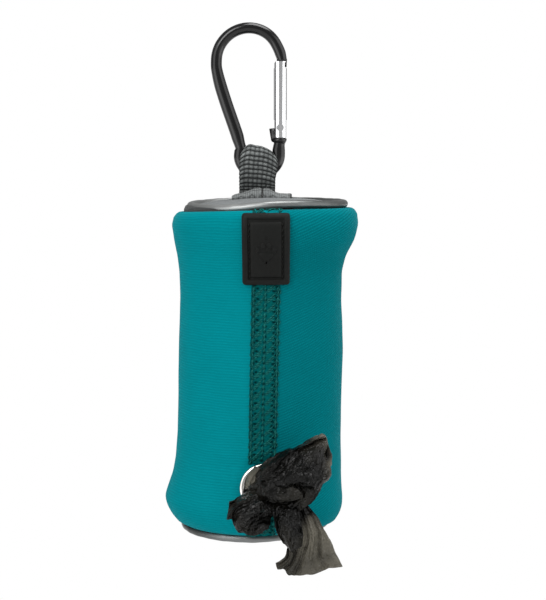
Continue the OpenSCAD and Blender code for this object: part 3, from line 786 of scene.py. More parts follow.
class Finish(Enum):
    """Every finish of the dispenser, by the record's slot names."""

    BLACK_HOOK = Lacquer("black_hook", (0.0016, 0.0016, 0.0018), 0.18, coat=0.15, peel=0.000003, specular=0.38)
    GATE_METAL = Metal("gate_metal", (0.86, 0.865, 0.875), 0.16, 0.22, stretch=0.03, dent=0.0000015)
    STEEL = Metal("steel", (0.5, 0.51, 0.52), 0.22, 0.4)
    WEBBING = BeadedWebbing()
    ANCHOR_TAPE = Weave("anchor_tape", (0.24, 0.255, 0.255), (0.05, 0.054, 0.054), 2.0, 2.0,
                        burnt=0.01175, slit=0.0036)
    PANEL_CLOTH = Weave("panel_cloth", (0.2, 0.215, 0.22), (0.07, 0.076, 0.078), 3.2, 3.2, depth=0.05)
    # The piping carries painted shade round one bright patch.
    PIPING_CLOTH = Weave("piping_cloth", (0.4, 0.41, 0.405), (0.28, 0.287, 0.285), 3.4, 3.4, depth=0.012,
                         rough=0.36, sheen=0.0, specular=0.5, metal=0.7, wear_and_shade=0.75)
    ZIP_TAPE = Weave("zip_tape", (0.03, 0.033, 0.034), (0.008, 0.009, 0.009), 2.2, 2.2, depth=0.08)
    ZIP_NYLON = Lacquer("zip_nylon", (0.018, 0.02, 0.021), 0.38)
    NEOPRENE = RibKnit()
    SEAM_THREAD = Thread("seam_thread", (0.012, 0.175, 0.152), (0.0008, 0.05, 0.052))
    SEAM_BAND = StitchedBand()
    BADGE_RUBBER = Lacquer("badge_rubber", (0.0042, 0.0046, 0.004), 0.6, peel=0.00003, scale=1300.0,
                           specular=0.15)
    BADGE_THREAD = Thread("badge_thread", (0.02, 0.02, 0.018), (0.004, 0.004, 0.004))
    NICKEL = Metal("nickel", (0.71, 0.695, 0.66), 0.1, 0.24, scale=500.0, stretch=1.0)
    SLIDER_METAL = Lacquer("slider_metal", (0.025, 0.028, 0.03), 0.3, coat=0.3)
    CORE_CARD = Weave("core_card", (0.5, 0.4, 0.27), (0.33, 0.255, 0.17), 0.8, 6.0, depth=0.03, rough=0.9)
    BAG_FILM = Film()

    @property
    def slot(self) -> str:
        """The record's slot name."""
        return self.name.lower()

    @cache
    def material(self) -> bpy.types.Material:
        """The built material, made the first time it is asked for."""
        return self.value.build()


def add_piece(name: str, skin: Skin, finish: Finish, *nodes: str, body: str = "", slot: str = "") -> None:
    """Makes a finished piece in its finish, which rides on a body and stands for nodes."""
    report(make_object(name, skin, finish.material()), slot or finish.slot, *nodes, body=body)


def dress_nodes(**finishes: Finish) -> None:
    """Gives carried CAD nodes their finishes, in every material slot they have."""
    for name, finish in finishes.items():
        node = frame["nodes"][name]
        if not node.data.materials:
            node.data.materials.append(finish.material())
        for place in node.material_slots:
            place.material = finish.material()
        LOG.info("%s: carried node in %s", name, finish.slot)


# ---- Pouch -----------------------------------------------------------------------------------

RIM = (84.0, 90.5)  # between these heights the rise of the rim fades in
LID_REST = 92.4  # height of the lid's edge at the back, from which the zip follows it


@dataclass(frozen=True)
class PouchForm:
    """The outer form of the stuffed sleeve: its radius and lean at each height, with a rolled rim."""

    radius: Curve = Curve(
        (2.3, 4.7, 7.0, 9.3, 13.9, 16.2, 20.8, 27.7, 41.5, 53.0, 66.0, 73.5, 78.0, 82.5, 87.0, 89.3),
        (22.3, 24.15, 25.05, 25.35, 24.45, 24.0, 23.55, 23.2,
         23.3, 23.2, 22.75, 22.95, 23.75, 25.4, 26.3, 25.8), 0.9)
    lean: Curve = Curve(
        (2.3, 4.7, 9.3, 13.9, 16.2, 20.8, 27.7, 41.5, 53.0, 66.0, 73.5, 78.0, 82.5, 87.0, 91.0),
        (-1.05, -1.35, -1.9, -1.3, -0.9, -0.45, -0.2, 0.0, 0.25, 0.15, 0.1, 0.4, 1.15, 1.42, 1.6), 1.5)
    eyelet: tuple[float, float] = (1.3, 16.0)
    flat_r: float = 7.0
    hole_r: float = 5.25

    def outline(self) -> Array:
        """Points of (radius, height) from the hem, up the face and over the rim."""
        heights = np.linspace(3.0, 89.3, 116)
        foot = [(20.9, 2.15), (21.6, 2.3), (22.15, 2.6)]
        rim = [(25.45, 89.95), (25.0, 90.5), (24.4, 90.9), (23.85, 91.0), (23.5, 90.85), (23.3, 90.4)]
        return np.concatenate([foot, np.stack([self.radius(heights), heights], 1), rim])

    def on_face(self, x: Array, along: Array, proud: Number) -> Array:
        """A place on the front of the sleeve.

        Args:
            x: Sideways distance from the axis.
            along: Distance up the outline from the hem.
            proud: Distance out from the face.

        Returns:
            Points: centre + (r + proud * n) in the direction that gives that x.
        """
        line = self.outline()
        way = unit(np.gradient(line, axis=0))
        length = lengths(line)
        r, z = np.interp(along, length, line[:, 0]), np.interp(along, length, line[:, 1])
        out_r, out_z = np.interp(along, length, way[:, 1]), np.interp(along, length, -way[:, 0])
        centre = self.lean(z)
        off = x - centre
        sin = np.clip(off / r, -0.98, 0.98)
        reach = r + proud * out_r
        face = np.stack([centre + sin * reach, -np.sqrt(1 - sin**2) * reach, z + proud * out_z], -1)
        return self.pressed(face, proud)

    def along_at(self, height: float) -> float:
        """Distance up the outline at which the face has that height."""
        line = self.outline()
        rising = slice(int(np.argmax(line[:, 1])) + 1)
        return float(np.interp(height, line[rising, 1], lengths(line)[rising]))

    def pad(self, x: Array, z: Array) -> Array:
        """The flat under the eyelet: a plane that tips with the face round it."""
        return -23.35 + 0.1 * (z - self.eyelet[1]) + 0.035 * (x - self.eyelet[0])

    def from_eyelet(self, points: Array) -> Array:
        """Distance of points from the eyelet's axis."""
        return np.hypot(points[..., 0] - self.eyelet[0], points[..., 2] - self.eyelet[1])

    def pressed(self, points: Array, proud: Number = 0.0) -> Array:
        """Points of the front pressed onto the eyelet's flat, with a soft edge round it."""
        away = self.from_eyelet(points)
        hold = (1 - smooth_step(away, self.flat_r, self.flat_r + 2.6)) * (points[..., 1] < 0)
        target = self.pad(points[..., 0], points[..., 2]) - proud
        out = points.copy()
        out[..., 1] += (target - points[..., 1]) * hold
        return out


FORM = PouchForm()


@dataclass
class Sleeve:
    """The neoprene sleeve: a closed shell whose outer wall leans and whose mouth stays round."""

    wall: float = 2.8
    steps: int = 240
    softness: float = 0.11
    turn_r: float = 23.4
    # Each fold's angle, height, slant, width, height of its trough and depth.
    fold_table: tuple[tuple[float, ...], ...] = (
        (-142, 79.5, 0.5, 20, 2.2, 0.22), (-40, 78.5, -0.6, 17, 2.4, 0.25), (-118, 22.0, -0.5, 16, 2.2, 0.2),
        (-30, 20.0, 0.5, 16, 2.4, 0.18), (60, 79.0, 0.4, 24, 2.4, 0.24), (140, 24.0, -0.4, 22, 2.5, 0.2))

    @staticmethod
    def rise(degrees: Array, z: Array) -> Array:
        """How far the rim rises round the mouth: highest at the front right, lowest at the left."""
        slow = 0.5 * np.cos(np.radians(degrees + 68.0)) + 0.45 * np.cos(np.radians(degrees + 30.0))
        return smooth_step(z, *RIM) * (-0.05 + slow - 0.1 * np.cos(np.radians(2 * degrees)))

    def shell(self) -> Skin:
        """The shell: the outline turned round its leaning axis, and back down the inside."""
        outer = FORM.outline()
        inner_z = np.linspace(89.5, 4.0, 60)
        inner_r = np.minimum(FORM.radius(inner_z) - self.wall, 23.3)
        line = np.concatenate([outer, np.stack([inner_r, inner_z], 1), [(20.2, 3.0), (20.4, 2.4)]])
        is_outer = np.arange(len(line)) < len(outer)
        degrees = 90.0 + np.arange(self.steps) * 360.0 / self.steps
        angle = np.radians(degrees)
        r, z = line[:, 0, None], np.broadcast_to(line[:, 1, None], (len(line), self.steps))
        keep = 1 - smooth_step(z, 80, 86)
        centre = np.where(is_outer[:, None], FORM.lean(z), FORM.lean(z) * 0.45 * keep)
        rim = self.rise(degrees[None], z)
        cloud = np.stack([np.cos(angle) * 1.9 + 0 * z, np.sin(angle) * 1.9 + 0 * z, z * 0.075], -1)
        dents = self.softness * value_noise(cloud, 3) + 0.05 * value_noise(cloud * 2.7, 5)
        r = r + (dents + self.folds(degrees[None], z)) * is_outer[:, None]
        points = np.stack([centre + r * np.cos(angle), r * np.sin(angle), z + rim], -1)
        points = np.where(is_outer[:, None, None], FORM.pressed(points), points)
        length = lengths(line)
        turn = np.radians(90.0 + np.arange(self.steps + 1) * 360.0 / self.steps) * self.turn_r
        up, u = np.meshgrid(np.append(length, length[-1] + 0.5), turn, indexing="ij")
        return grid_skin(points, np.stack([u, up], -1), wrap_rows=True, wrap_cols=True)

    def folds(self, degrees: Array, z: Array) -> Array:
        """Shallow folds under the shoulder and over the foot: narrow troughs that fade at both ends."""
        total = np.zeros(np.broadcast(degrees, z).shape)
        for at, height, slant, wide, tall, depth in self.fold_table:
            turn = (degrees - at + 180) % 360 - 180
            off = z - height - slant * turn * 0.12
            total -= depth * np.exp(-((turn / wide) ** 2) - (off / tall) ** 2)
        return total

    def punched(self, piece: bpy.types.Object) -> None:
        """Cuts the eyelet's hole through both walls and joins the two cut edges with a tube."""
        middle = Vector(to_row((FORM.eyelet[0], 0.0, FORM.eyelet[1])))
        radius, front = FORM.hole_r * MM, -10.0 * MM
        work = bmesh.new()
        work.from_mesh(piece.data)

        def away(point: Vector) -> float:
            """Distance of a point from the hole's axis."""
            return math.hypot(point.x - middle.x, point.z - middle.z)

        centres = {face: face.calc_center_median() for face in work.faces}
        gone = [face for face, centre in centres.items() if centre.y < front and away(centre) < radius]
        bmesh.ops.delete(work, geom=gone, context="FACES")
        edges = [e for e in work.edges if e.is_boundary]
        for vert in {v for e in edges for v in e.verts}:
            scale = radius / max(away(vert.co), 1e-6)
            vert.co.x = middle.x + (vert.co.x - middle.x) * scale
            vert.co.z = middle.z + (vert.co.z - middle.z) * scale
        bmesh.ops.bridge_loops(work, edges=edges)
        bmesh.ops.recalc_face_normals(work, faces=work.faces)
        for face in work.faces:
            face.smooth = True
        work.to_mesh(piece.data)
        work.free()

    def build(self) -> None:
        """Makes the sleeve."""
        piece = make_object("sleeve_shell", self.shell(), Finish.NEOPRENE.material())
        self.punched(piece)
        report(piece, "neoprene", "sleeve", body="pouch")


@dataclass
class Seam:
    """The flatlock seam down the front: a raised band with columns of stitches and slanting threads."""

    half: float = 3.9
    pitch: float = 2.8
    columns: tuple[float, ...] = (-3.25, -0.2, 3.2)
    thread_r: float = 0.17
    gap_from: float = 72.4
    gap_to: float = 90.2

    @staticmethod
    def middle(along: Array) -> Array:
        """Sideways place of the seam: it drifts to the right as it climbs."""
        return 0.3 + 0.0205 * np.asarray(along, float)

    def place(self, u: Array, along: Array, proud: Number) -> Array:
        """A point of the seam from its own three coordinates."""
        points = FORM.on_face(self.middle(along) + u, along, proud)
        degrees = np.degrees(np.arctan2(points[..., 1], points[..., 0]))
        points[..., 2] += Sleeve.rise(degrees, points[..., 2])
        return points

    def band(self, low: float, high: float) -> Skin:
        """The cover band: flat with rounded sides, puckered at each stitch."""
        along = np.linspace(low, high, max(int((high - low) / 0.35), 4))
        across = np.linspace(-1, 1, 25)
        s, t = np.meshgrid(along, across, indexing="ij")
        pucker = 0.05 * np.cos(TURN * s / self.pitch) * np.cos(2 * TURN * t)
        proud = 0.28 * np.sqrt(np.clip(1 - t**4, 0, 1)) + pucker
        top = self.place(t * self.half, s, proud)
        under = self.place(t[:, ::-1] * self.half, s, -0.3)
        wide = np.concatenate([across, across[::-1], across[:1]]) * self.half
        pattern = np.stack(np.meshgrid(wide, np.append(along, high + 0.1)), -1)
        return grid_skin(np.concatenate([top, under], 1), pattern, wrap_cols=True, cap=True)

    def strands(self, low: float, high: float) -> Array:
        """Stitch paths in the seam's own coordinates: columns of arched bars, slants and side loops."""
        starts = np.arange(low, high - self.pitch, self.pitch)
        t = np.linspace(0, 1, 8)
        p = self.pitch
        kinds: list[Array] = []

        def stitch(u0: float, s0: float, u1: float, s1: float, low_h: float, rise: float,
                   bow: float = 0.0) -> None:
            """Adds one kind of stitch, from (u0, s0) to (u1, s1), repeated at each pitch."""
            arch = np.sin(math.pi * t)
            one = np.stack([u0 + (u1 - u0) * t + bow * arch, s0 + (s1 - s0) * t, low_h + rise * arch], -1)
            kinds.append(one[None] + starts[:, None, None] * np.array((0.0, 1.0, 0.0)))

        for index, column in enumerate(self.columns):
            phase = 0.45 * p * (index % 2)
            stitch(column, phase + 0.1, column + 0.1, phase + 0.8 * p, 0.16, 0.34)
            stitch(column - 0.3, phase + 0.5 * p, column + 0.25, phase + 1.05 * p, 0.16, 0.24)
        for left, right, phase in ((-3.0, -0.5, 0.0), (0.1, 2.9, 0.45 * p)):
            stitch(left, phase, right, phase + 0.95 * p, 0.2, 0.22)
            stitch(left, phase - 0.5, right - 0.3, phase + 0.6 * p, 0.15, 0.18)
            stitch(left + 0.2, phase + 0.35 * p, right, phase + 0.1 * p, 0.12, 0.1)
        stitch(-3.3, 0.1, -3.3, 0.5 * p, 0.1, 0.18, -0.6)
        stitch(3.3, 0.3, 3.3, 0.8 * p, 0.1, 0.18, 0.6)
        paths = np.concatenate(kinds)
        shake = 0.09 * np.stack([value_noise(paths * 1.3 + 11.0 * k, k) for k in (1, 2, 3)], -1)
        return paths + shake

    def threads(self, low: float, high: float) -> Skin:
        """Every stitch as a tapered bar, left out where the eyelet is."""
        points = self.place(*np.moveaxis(self.strands(low, high), -1, 0))
        points = points[FORM.from_eyelet(points).min(1) > FORM.flat_r + 0.5]
        keep = np.linspace(0, 1, points.shape[1])
        size = self.thread_r * (0.55 + 0.45 * np.sin(math.pi * keep) ** 0.5)
        return swept_skin(points, np.broadcast_to(size, points.shape[:2]), FRONT, 6)

    def build(self) -> None:
        """Makes the band and its threads below the badge and over the rim."""
        low, stop = 1.2, FORM.along_at(self.gap_from)
        again, top = FORM.along_at(self.gap_to) + 0.4, FORM.along_at(91.0) + 1.2
        eyelet = FORM.along_at(FORM.eyelet[1])
        reach = FORM.flat_r - 0.4
        bands = self.band(low, eyelet - reach) + self.band(eyelet + reach, stop)
        add_piece("seam_band", bands, Finish.SEAM_BAND, "seam_threads", body="pouch", slot="seam_thread")
        threads = self.threads(low, stop) + self.threads(again - 0.6, top + 1.5)
        add_piece("seam_stitches", threads, Finish.SEAM_THREAD, "seam_threads", body="pouch")


@dataclass
class Badge:
    """The moulded rubber badge: a raised frame, a groove and a bare field with a small paw print."""

    x: float = 1.75
    width: float = 12.45
    low_z: float = 71.6
    high_z: float = 90.45
    corner: float = 0.85
    # The plate's profile from its foot to its middle, each as its inset and height.
    steps: tuple[tuple[float, float], ...] = (
        (0.5, -0.2), (0.0, -0.15), (0.0, 0.8), (0.1, 1.05), (0.35, 1.2), (0.7, 1.24), (1.15, 1.22), (1.4, 1.1),
        (1.5, 0.75), (1.62, 0.62), (1.9, 0.6), (2.1, 0.66), (2.2, 0.9), (2.4, 1.0), (3.0, 1.02), (4.2, 1.02),
        (5.4, 1.02), (6.2, 1.02))
    # The paw's pads, each as its place, half width, half height and tilt.
    pads: tuple[tuple[float, ...], ...] = (
        (0, -1.5, 1.75, 1.4, 0.0), (-2.15, 0.35, 0.62, 0.9, 0.25), (-0.8, 1.45, 0.66, 1.0, 0.08),
        (0.8, 1.45, 0.66, 1.0, -0.08), (2.15, 0.35, 0.62, 0.9, -0.25))

    def ring(self, inset: float) -> tuple[Array, Array]:
        """A rounded rectangle pulled in by an inset, as distances from the badge's middle."""
        low, high = FORM.along_at(self.low_z), FORM.along_at(self.high_z)
        a, b = self.width / 2 - inset, (high - low) / 2 - inset
        r = max(self.corner - inset, 0.25)
        corners = []
        for turn, (sx, sy) in enumerate(((1, 1), (-1, 1), (-1, -1), (1, -1))):
            angle = np.radians(np.linspace(90 * turn, 90 * turn + 90, 8))
            bend = r * np.stack([np.cos(angle), np.sin(angle)], -1)
            corners.append(bend + np.array((sx * (a - r), sy * (b - r))))
        sides = []
        for turn, corner in enumerate(corners):
            share = np.linspace(0, 1, 16 if turn % 2 == 0 else 32)[1:-1, None]
            sides += [corner, corner[-1] + (corners[(turn + 1) % 4][0] - corner[-1]) * share]
        ring = np.concatenate(sides)
        return ring[:, 0], ring[:, 1]

    def place(self, u: Array, v: Array, proud: Number) -> Array:
        """A point over the sleeve's face from the badge's own coordinates."""
        middle = (FORM.along_at(self.low_z) + FORM.along_at(self.high_z)) / 2
        return FORM.on_face(self.x + u * (1 + 0.0011 * (v + 3)), middle + v, proud)

    def plate(self) -> Skin:
        """Nested rounded rectangles, each at its own inset and height, closed in the middle."""
        rows = [self.place(*self.ring(inset), proud) for inset, proud in self.steps]
        return grid_skin(np.stack(rows), wrap_cols=True, cap=True)

    def paw(self) -> Skin:
        """A paw print of five domes: height = top * sqrt(1 - rho^2) over an ellipse."""
        domes = []
        rho, angle = np.meshgrid(np.linspace(1, 0.02, 8), np.arange(28) * TURN / 28, indexing="ij")
        for u0, v0, wide, tall, tip in self.pads:
            x, y = rho * wide * np.cos(angle), rho * tall * np.sin(angle)
            lobe = 1 - (0.22 * np.cos(3 * (angle - math.pi / 2)) * rho if u0 == 0 else 0)
            x, y = x * lobe, y * lobe
            x, y = x * math.cos(tip) - y * math.sin(tip), x * math.sin(tip) + y * math.cos(tip)
            dome = self.place(u0 + x, v0 + y, 0.98 + 0.4 * np.sqrt(1 - rho**2))
            foot = self.place(u0 + x[:1], v0 + y[:1], 0.8)
            domes.append(grid_skin(np.concatenate([foot, dome]), wrap_cols=True, cap=True))
        return reduce(Skin.__add__, domes)

    def stitching(self) -> Skin:
        """A row of short stitches down each side, in the groove."""
        rows = np.arange(-7.6, 7.7, 1.45)
        t = np.linspace(0, 1, 6)
        paths = []
        for side in (-1, 1):
            u = np.full((len(rows), 6), side * (self.width / 2 - 1.87))
            v = rows[:, None] + 1.05 * (t - 0.5)
            paths.append(self.place(u, v, 0.55 + 0.2 * np.sin(math.pi * t)))
        return swept_skin(np.concatenate(paths), 0.19, FRONT, 6)

    def build(self) -> None:
        """Makes the plate with its print, and the stitches."""
        add_piece("badge_plate", self.plate() + self.paw(), Finish.BADGE_RUBBER, "badge", body="pouch")
        add_piece("badge_stitches", self.stitching(), Finish.BADGE_THREAD, "badge_stitching", body="pouch")


@dataclass
class Eyelet:
    """The rolled eyelet: a ring with a domed lip on the flat of the sleeve, and a washer inside."""

    hole: float = 4.8
    lip: float = 6.75

    @staticmethod
    def tipped(profile: Sequence[Sequence[float]], steps: int) -> Skin:
        """A profile turned round the eyelet's axis, and carried onto the tipped flat."""
        skin = turned_skin(profile, (FORM.eyelet[0], 0, FORM.eyelet[1]), "y", steps)
        skin.points[:, 1] += FORM.pad(skin.points[:, 0], skin.points[:, 2])
        return skin

    def build(self) -> None:
        """Makes the ring and the washer."""
        h, o = self.hole, self.lip
        angle, inner = np.linspace(0, math.pi, 12), h + 0.02
        lip = [(inner + (o - inner) * (1 - math.cos(a)) / 2, -0.15 - 0.62 * math.sin(a) ** 0.8) for a in angle]
        profile = [(h, 3.4), (h, 1.0)] + lip + [(o - 0.1, 0.0), (h + 0.4, 0.05), (h + 0.38, 3.4)]
        add_piece("eyelet_ring", self.tipped(profile, 96), Finish.NICKEL, "eyelet", body="pouch")
        back = [(h + 0.5, 3.2), (h + 0.5, 3.75), (h + 1.0, 3.95), (o - 0.9, 3.9), (o - 0.5, 3.6),
                (o - 0.5, 3.3)]
        add_piece("eyelet_washer_ring", self.tipped(back, 72), Finish.NICKEL, "eyelet_washer", body="pouch")


# ---- Ends ------------------------------------------------------------------------------------


@dataclass
class Piping:
    """A round piped edge: a cloth tube round a cord, on a ring that may wave and stand off centre."""

    name: str
    nodes: tuple[str, ...]
    body: str
    shift: float
    ring_r: float
    tube_r: float
    heights: Curve

    def path(self, steps: int = 220) -> Array:
        """The tube's middle: a circle whose height follows the table of angles."""
        degrees = np.arange(steps) * 360.0 / steps - 180.0
        angle = np.radians(degrees)
        ring = self.ring_r + 0.12 * np.sin(3 * angle + 0.6)
        return np.stack([self.shift + ring * np.cos(angle), ring * np.sin(angle), self.heights(degrees)], -1)

    def build(self) -> None:
        """Makes the tube, slightly uneven where the cloth is drawn round the cord."""
        path = self.path()
        degrees = np.arange(len(path)) * 360.0 / len(path)
        drawn = 0.025 * np.sin(np.radians(degrees * 13)) + 0.02 * np.sin(np.radians(degrees * 29 + 40))
        size = self.tube_r * (1 + drawn)
        skin = swept_skin(path[None], size[None], UP, 24, closed=True)
        add_piece(self.name, skin, Finish.PIPING_CLOTH, *self.nodes, body=self.body)


@dataclass
class EndPanel:
    """A round end panel of cloth: z = middle * (1 - rho^2) + edge(angle) * rho^2, with faint puckers."""

    name: str
    node: str
    body: str
    shift: float
    radius: float
    middle: float
    thick: float
    edge: Curve

    def build(self) -> None:
        """Makes the panel as a closed disc."""
        rho = np.concatenate([np.linspace(0.002, 1, 30), np.linspace(1, 0.002, 12)])
        degrees = np.arange(144) * 2.5 - 180
        angle = np.radians(degrees)
        share, turn = np.meshgrid(rho, angle, indexing="ij")
        edge = self.edge(degrees)[None]
        pucker = 0.06 * np.sin(turn * 22) * smooth_step(share, 0.75, 1.0)
        z = self.middle * (1 - share**2) + edge * share**2 + pucker
        z = z - np.where(np.arange(len(rho)) >= 30, self.thick, 0.0)[:, None]
        x, y = self.shift + self.radius * share * np.cos(turn), self.radius * share * np.sin(turn)
        skin = grid_skin(np.stack([x, y, z], -1), wrap_cols=True, cap=True)
        add_piece(self.name, skin.laid_flat(0, 1), Finish.PANEL_CLOTH, self.node, body=self.body)


# Heights of the lid's piping, the foot's piping and the foot panel's edge, by angle from the right.
LID_EDGE = Curve(
    (-180, -150, -127, -112, -100, -90, -80, -60, -35, 0, 45, 90, 120, 150, 180),
    (91.95, 91.8, 91.75, 92.1, 92.55, 92.95, 93.15, 93.1, 92.75, 92.5, 92.4, 92.4, 92.25, 92.0, 91.95), 5.0)
LEVEL = Curve((-180, -90, -45, 0, 45, 90, 180), (1.2, 1.12, 1.75, 2.4, 2.0, 1.3, 1.2), 9.0)
FOOT_EDGE = Curve((-180, -90, -45, 0, 45, 90, 180), (1.2, 1.2, 1.35, 1.5, 1.4, 1.2, 1.2), 9.0)


@dataclass
class Zip:
    """The zip round the mouth: two nylon coils, their tapes, and the hinge strip where no zip runs."""

    start: float = -66.0
    end: float = 142.0
    lid_start: float = -45.0
    lid_end: float = 120.0
    lid_z: float = 91.15
    pouch_z: float = 89.65
    coil_r: float = 21.75
    pitch: float = 0.95

    def coil(self, low: float, high: float, height: float, shift: float, lift: float) -> Skin:
        """A flattened coil: a helix of one turn per pitch along the rim's arc."""
        turns = math.radians(high - low) * self.coil_r / self.pitch
        t = np.linspace(0, 1, int(turns * 10))
        angle = np.radians(low + (high - low) * t)
        phase = TURN * turns * t
        r = self.coil_r + 0.5 * np.cos(phase)
        rise = lift * (LID_EDGE(np.degrees(angle)) - LID_REST)
        z = height + 0.32 * np.sin(phase) + rise
        path = np.stack([shift + r * np.cos(angle), r * np.sin(angle), z], -1)
        return swept_skin(path[None], 0.15, UP, 5)

    def build(self) -> None:
        """Makes the coils, tapes and hinge strip."""
        lid = self.coil(self.lid_start, self.lid_end, self.lid_z, 0.9, 0.6)
        pouch = self.coil(self.start, self.end, self.pouch_z, 0.0, 0.0)
        add_piece("lid_coil_turns", lid, Finish.ZIP_NYLON, "lid_zip_coil", body="lid")
        add_piece("pouch_coil_turns", pouch, Finish.ZIP_NYLON, "pouch_zip_coil", body="pouch")
        up = [(21.55, 91.3), (21.95, 91.3), (21.95, 92.0), (21.55, 92.0)]
        tape = arc_skin(up, self.lid_start + 1, self.lid_end - 1, 1.0,
                        lambda degrees: 0.8 * (LID_EDGE(degrees) - LID_REST))
        add_piece("lid_tape_band", tape, Finish.ZIP_TAPE, "lid_zip_tape", body="lid")
        down = [(21.6, 89.3), (21.9, 89.3), (22.9, 87.6), (23.05, 84.9), (22.75, 84.9), (22.6, 87.4)]
        tape = arc_skin(down, self.start, self.end)
        add_piece("pouch_tape_band", tape, Finish.ZIP_TAPE, "pouch_zip_tape", body="pouch")
        strip = [(22.3, 90.3), (22.3, 91.0), (21.9, 91.9), (21.2, 92.3), (21.2, 92.0), (21.6, 91.5),
                 (21.8, 90.9), (21.9, 90.3)]
        hinge = arc_skin(strip, self.end - 360 + 2, self.start - 2, 0.9)
        piece = make_object("hinge_strip", hinge, Finish.ZIP_TAPE.material())
        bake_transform(piece)
        report(piece, "zip_tape", "hinge_tape")
        dress_nodes(zip_stops=Finish.STEEL, zip_slider=Finish.SLIDER_METAL, puller_pin=Finish.STEEL,
                    zip_puller=Finish.SLIDER_METAL)


# ---- Hook and loop ---------------------------------------------------------------------------


@dataclass
class Hook:
    """The snap hook: a forged wire with a cup for the gate, a nose, and the dressed gate parts."""

    wire: float = 1.55
    crown: tuple[float, float, float] = (-2.95, 132.3, 9.15)
    kink: tuple[float, float, float] = (-7.95, 107.71, 2.2)
    eye: tuple[float, float, float] = (-0.25, 106.1, 5.5)
    lean: float = 15.4
    pivot: tuple[float, float] = (5.7, 113.8)
    tongue: float = 0.55
    limb: Curve = Curve(
        (103, 105.3, 107.5, 109.8, 112, 114.2, 116.5, 118.7, 121, 123.2, 125.4, 127.7, 129.9, 132.2),
        (0, 0.15, 0.45, 0.36, 0.36, 0.2, 0.03, -0.14, -0.28, -0.38, -0.45, -0.42, -0.28, -0.05), 0.8)
    brow: Curve = Curve(
        (132.4, 133.4, 134.4, 136.6, 138.9, 141, 143), (0, -0.12, -0.24, -0.42, -0.27, -0.1, 0), 0.8)

    @staticmethod
    def bend(centre: Sequence[float], low: float, high: float) -> Array:
        """Points of a bend in the upright plane between two angles."""
        angle = np.radians(np.linspace(low, high, max(int(abs(high - low) / 3), 6)))
        return np.stack([centre[0] + centre[2] * np.cos(angle), centre[1] + centre[2] * np.sin(angle)], -1)

    def line(self) -> Array:
        """The wire's middle line, evenly spaced: nose, crown, long limb, kink, eye and short limb."""
        nose = np.array([(6.25, 132.45), (6.2, 133.1)])
        foot = np.array([(5.27, 107.6), (5.35, 108.6), (5.5, 109.6)])
        line = np.concatenate([nose, self.bend(self.crown, 14, 180 + self.lean),
                               self.bend(self.kink, self.lean, 0), self.bend(self.eye, 180, 360), foot])
        length = lengths(line)
        even = np.linspace(0, length[-1], 420)
        x, z = (np.interp(even, length, line[:, k]) for k in (0, 1))
        bow = np.where(x < -3, self.limb(z), np.where(z > 130, self.brow(z), 0.0))
        return np.stack([x + bow, z], -1)

    def swell(self, x: Array, z: Array) -> Array:
        """How much wider the wire is: pressed out beside the eye, and narrowed at the nose."""
        left = 0.3 * smooth_step(-z, -108.3, -107.1) * smooth_step(z, 101.5, 106.5) * (x < -3)
        right = 0.22 * smooth_step(-z, -109.4, -107.2) * smooth_step(z, 101.0, 105.5) * (x > 3)
        limb = 0.21 * smooth_step(z, 108.6, 111.5) * (1 - smooth_step(z, 124, 132)) * (x < -3)
        return left + right + limb - 0.2 * (1 - smooth_step(z, 132.5, 134.6)) * (z > 125) * (x > 0)

    def frame_skin(self) -> Skin:
        """The wire, its cup and lip, and the flat tongues inside the gate's two slots."""
        line = self.line()
        path = np.stack([line[:, 0], 0 * line[:, 0], line[:, 1]], -1)
        wide = self.wire + self.swell(line[:, 0], line[:, 1])
        wire = swept_skin(path[None], wide[None], np.array((0.0, 1.0, 0.0)), 32, (self.wire / wide)[None])
        cup_line = [(0.02, 110.3), (0.9, 110.42), (1.6, 110.72), (1.8, 110.8), (1.92, 110.68), (1.94, 110.3),
                    (1.82, 109.95), (1.6, 109.55), (1.45, 109.2), (0.02, 108.8)]
        cup = turned_skin(cup_line, (5.58, 0, 0), "z", 48, False)
        px, pz = self.pivot
        top = self.bend((px, pz, 1.45), 0, 180)
        shank = [(4.25, 113.5), (3.5, 113.52), (2.72, 113.5), (2.62, 113.35), (3.1, 110.3), (3.3, 109.9),
                 (4.2, 109.4)]
        outline = np.concatenate([[(7.15, 109.7)], top, shank])
        around = np.arctan2(outline[:, 1] - pz, outline[:, 0] - px)
        hole = np.stack([px + 0.54 * np.cos(around), pz + 0.54 * np.sin(around)], -1)
        tongue = plate_skin(outline, -self.tongue, self.tongue, hole)
        flat = np.array([(4.85, 130.6), (7.45, 130.6), (7.6, 132.8), (4.7, 132.8)])
        return wire + cup + tongue + plate_skin(flat, -self.tongue, self.tongue)

    def build(self) -> None:
        """Makes the frame and dresses the nodes of the gate."""
        add_piece("hook_frame", self.frame_skin(), Finish.BLACK_HOOK, "carabiner_frame", body="carabiner")
        dress_nodes(catch_pin=Finish.STEEL, gate_rod=Finish.GATE_METAL, gate_rivet=Finish.GATE_METAL,
                    gate_spring=Finish.STEEL, spring_plunger=Finish.STEEL)


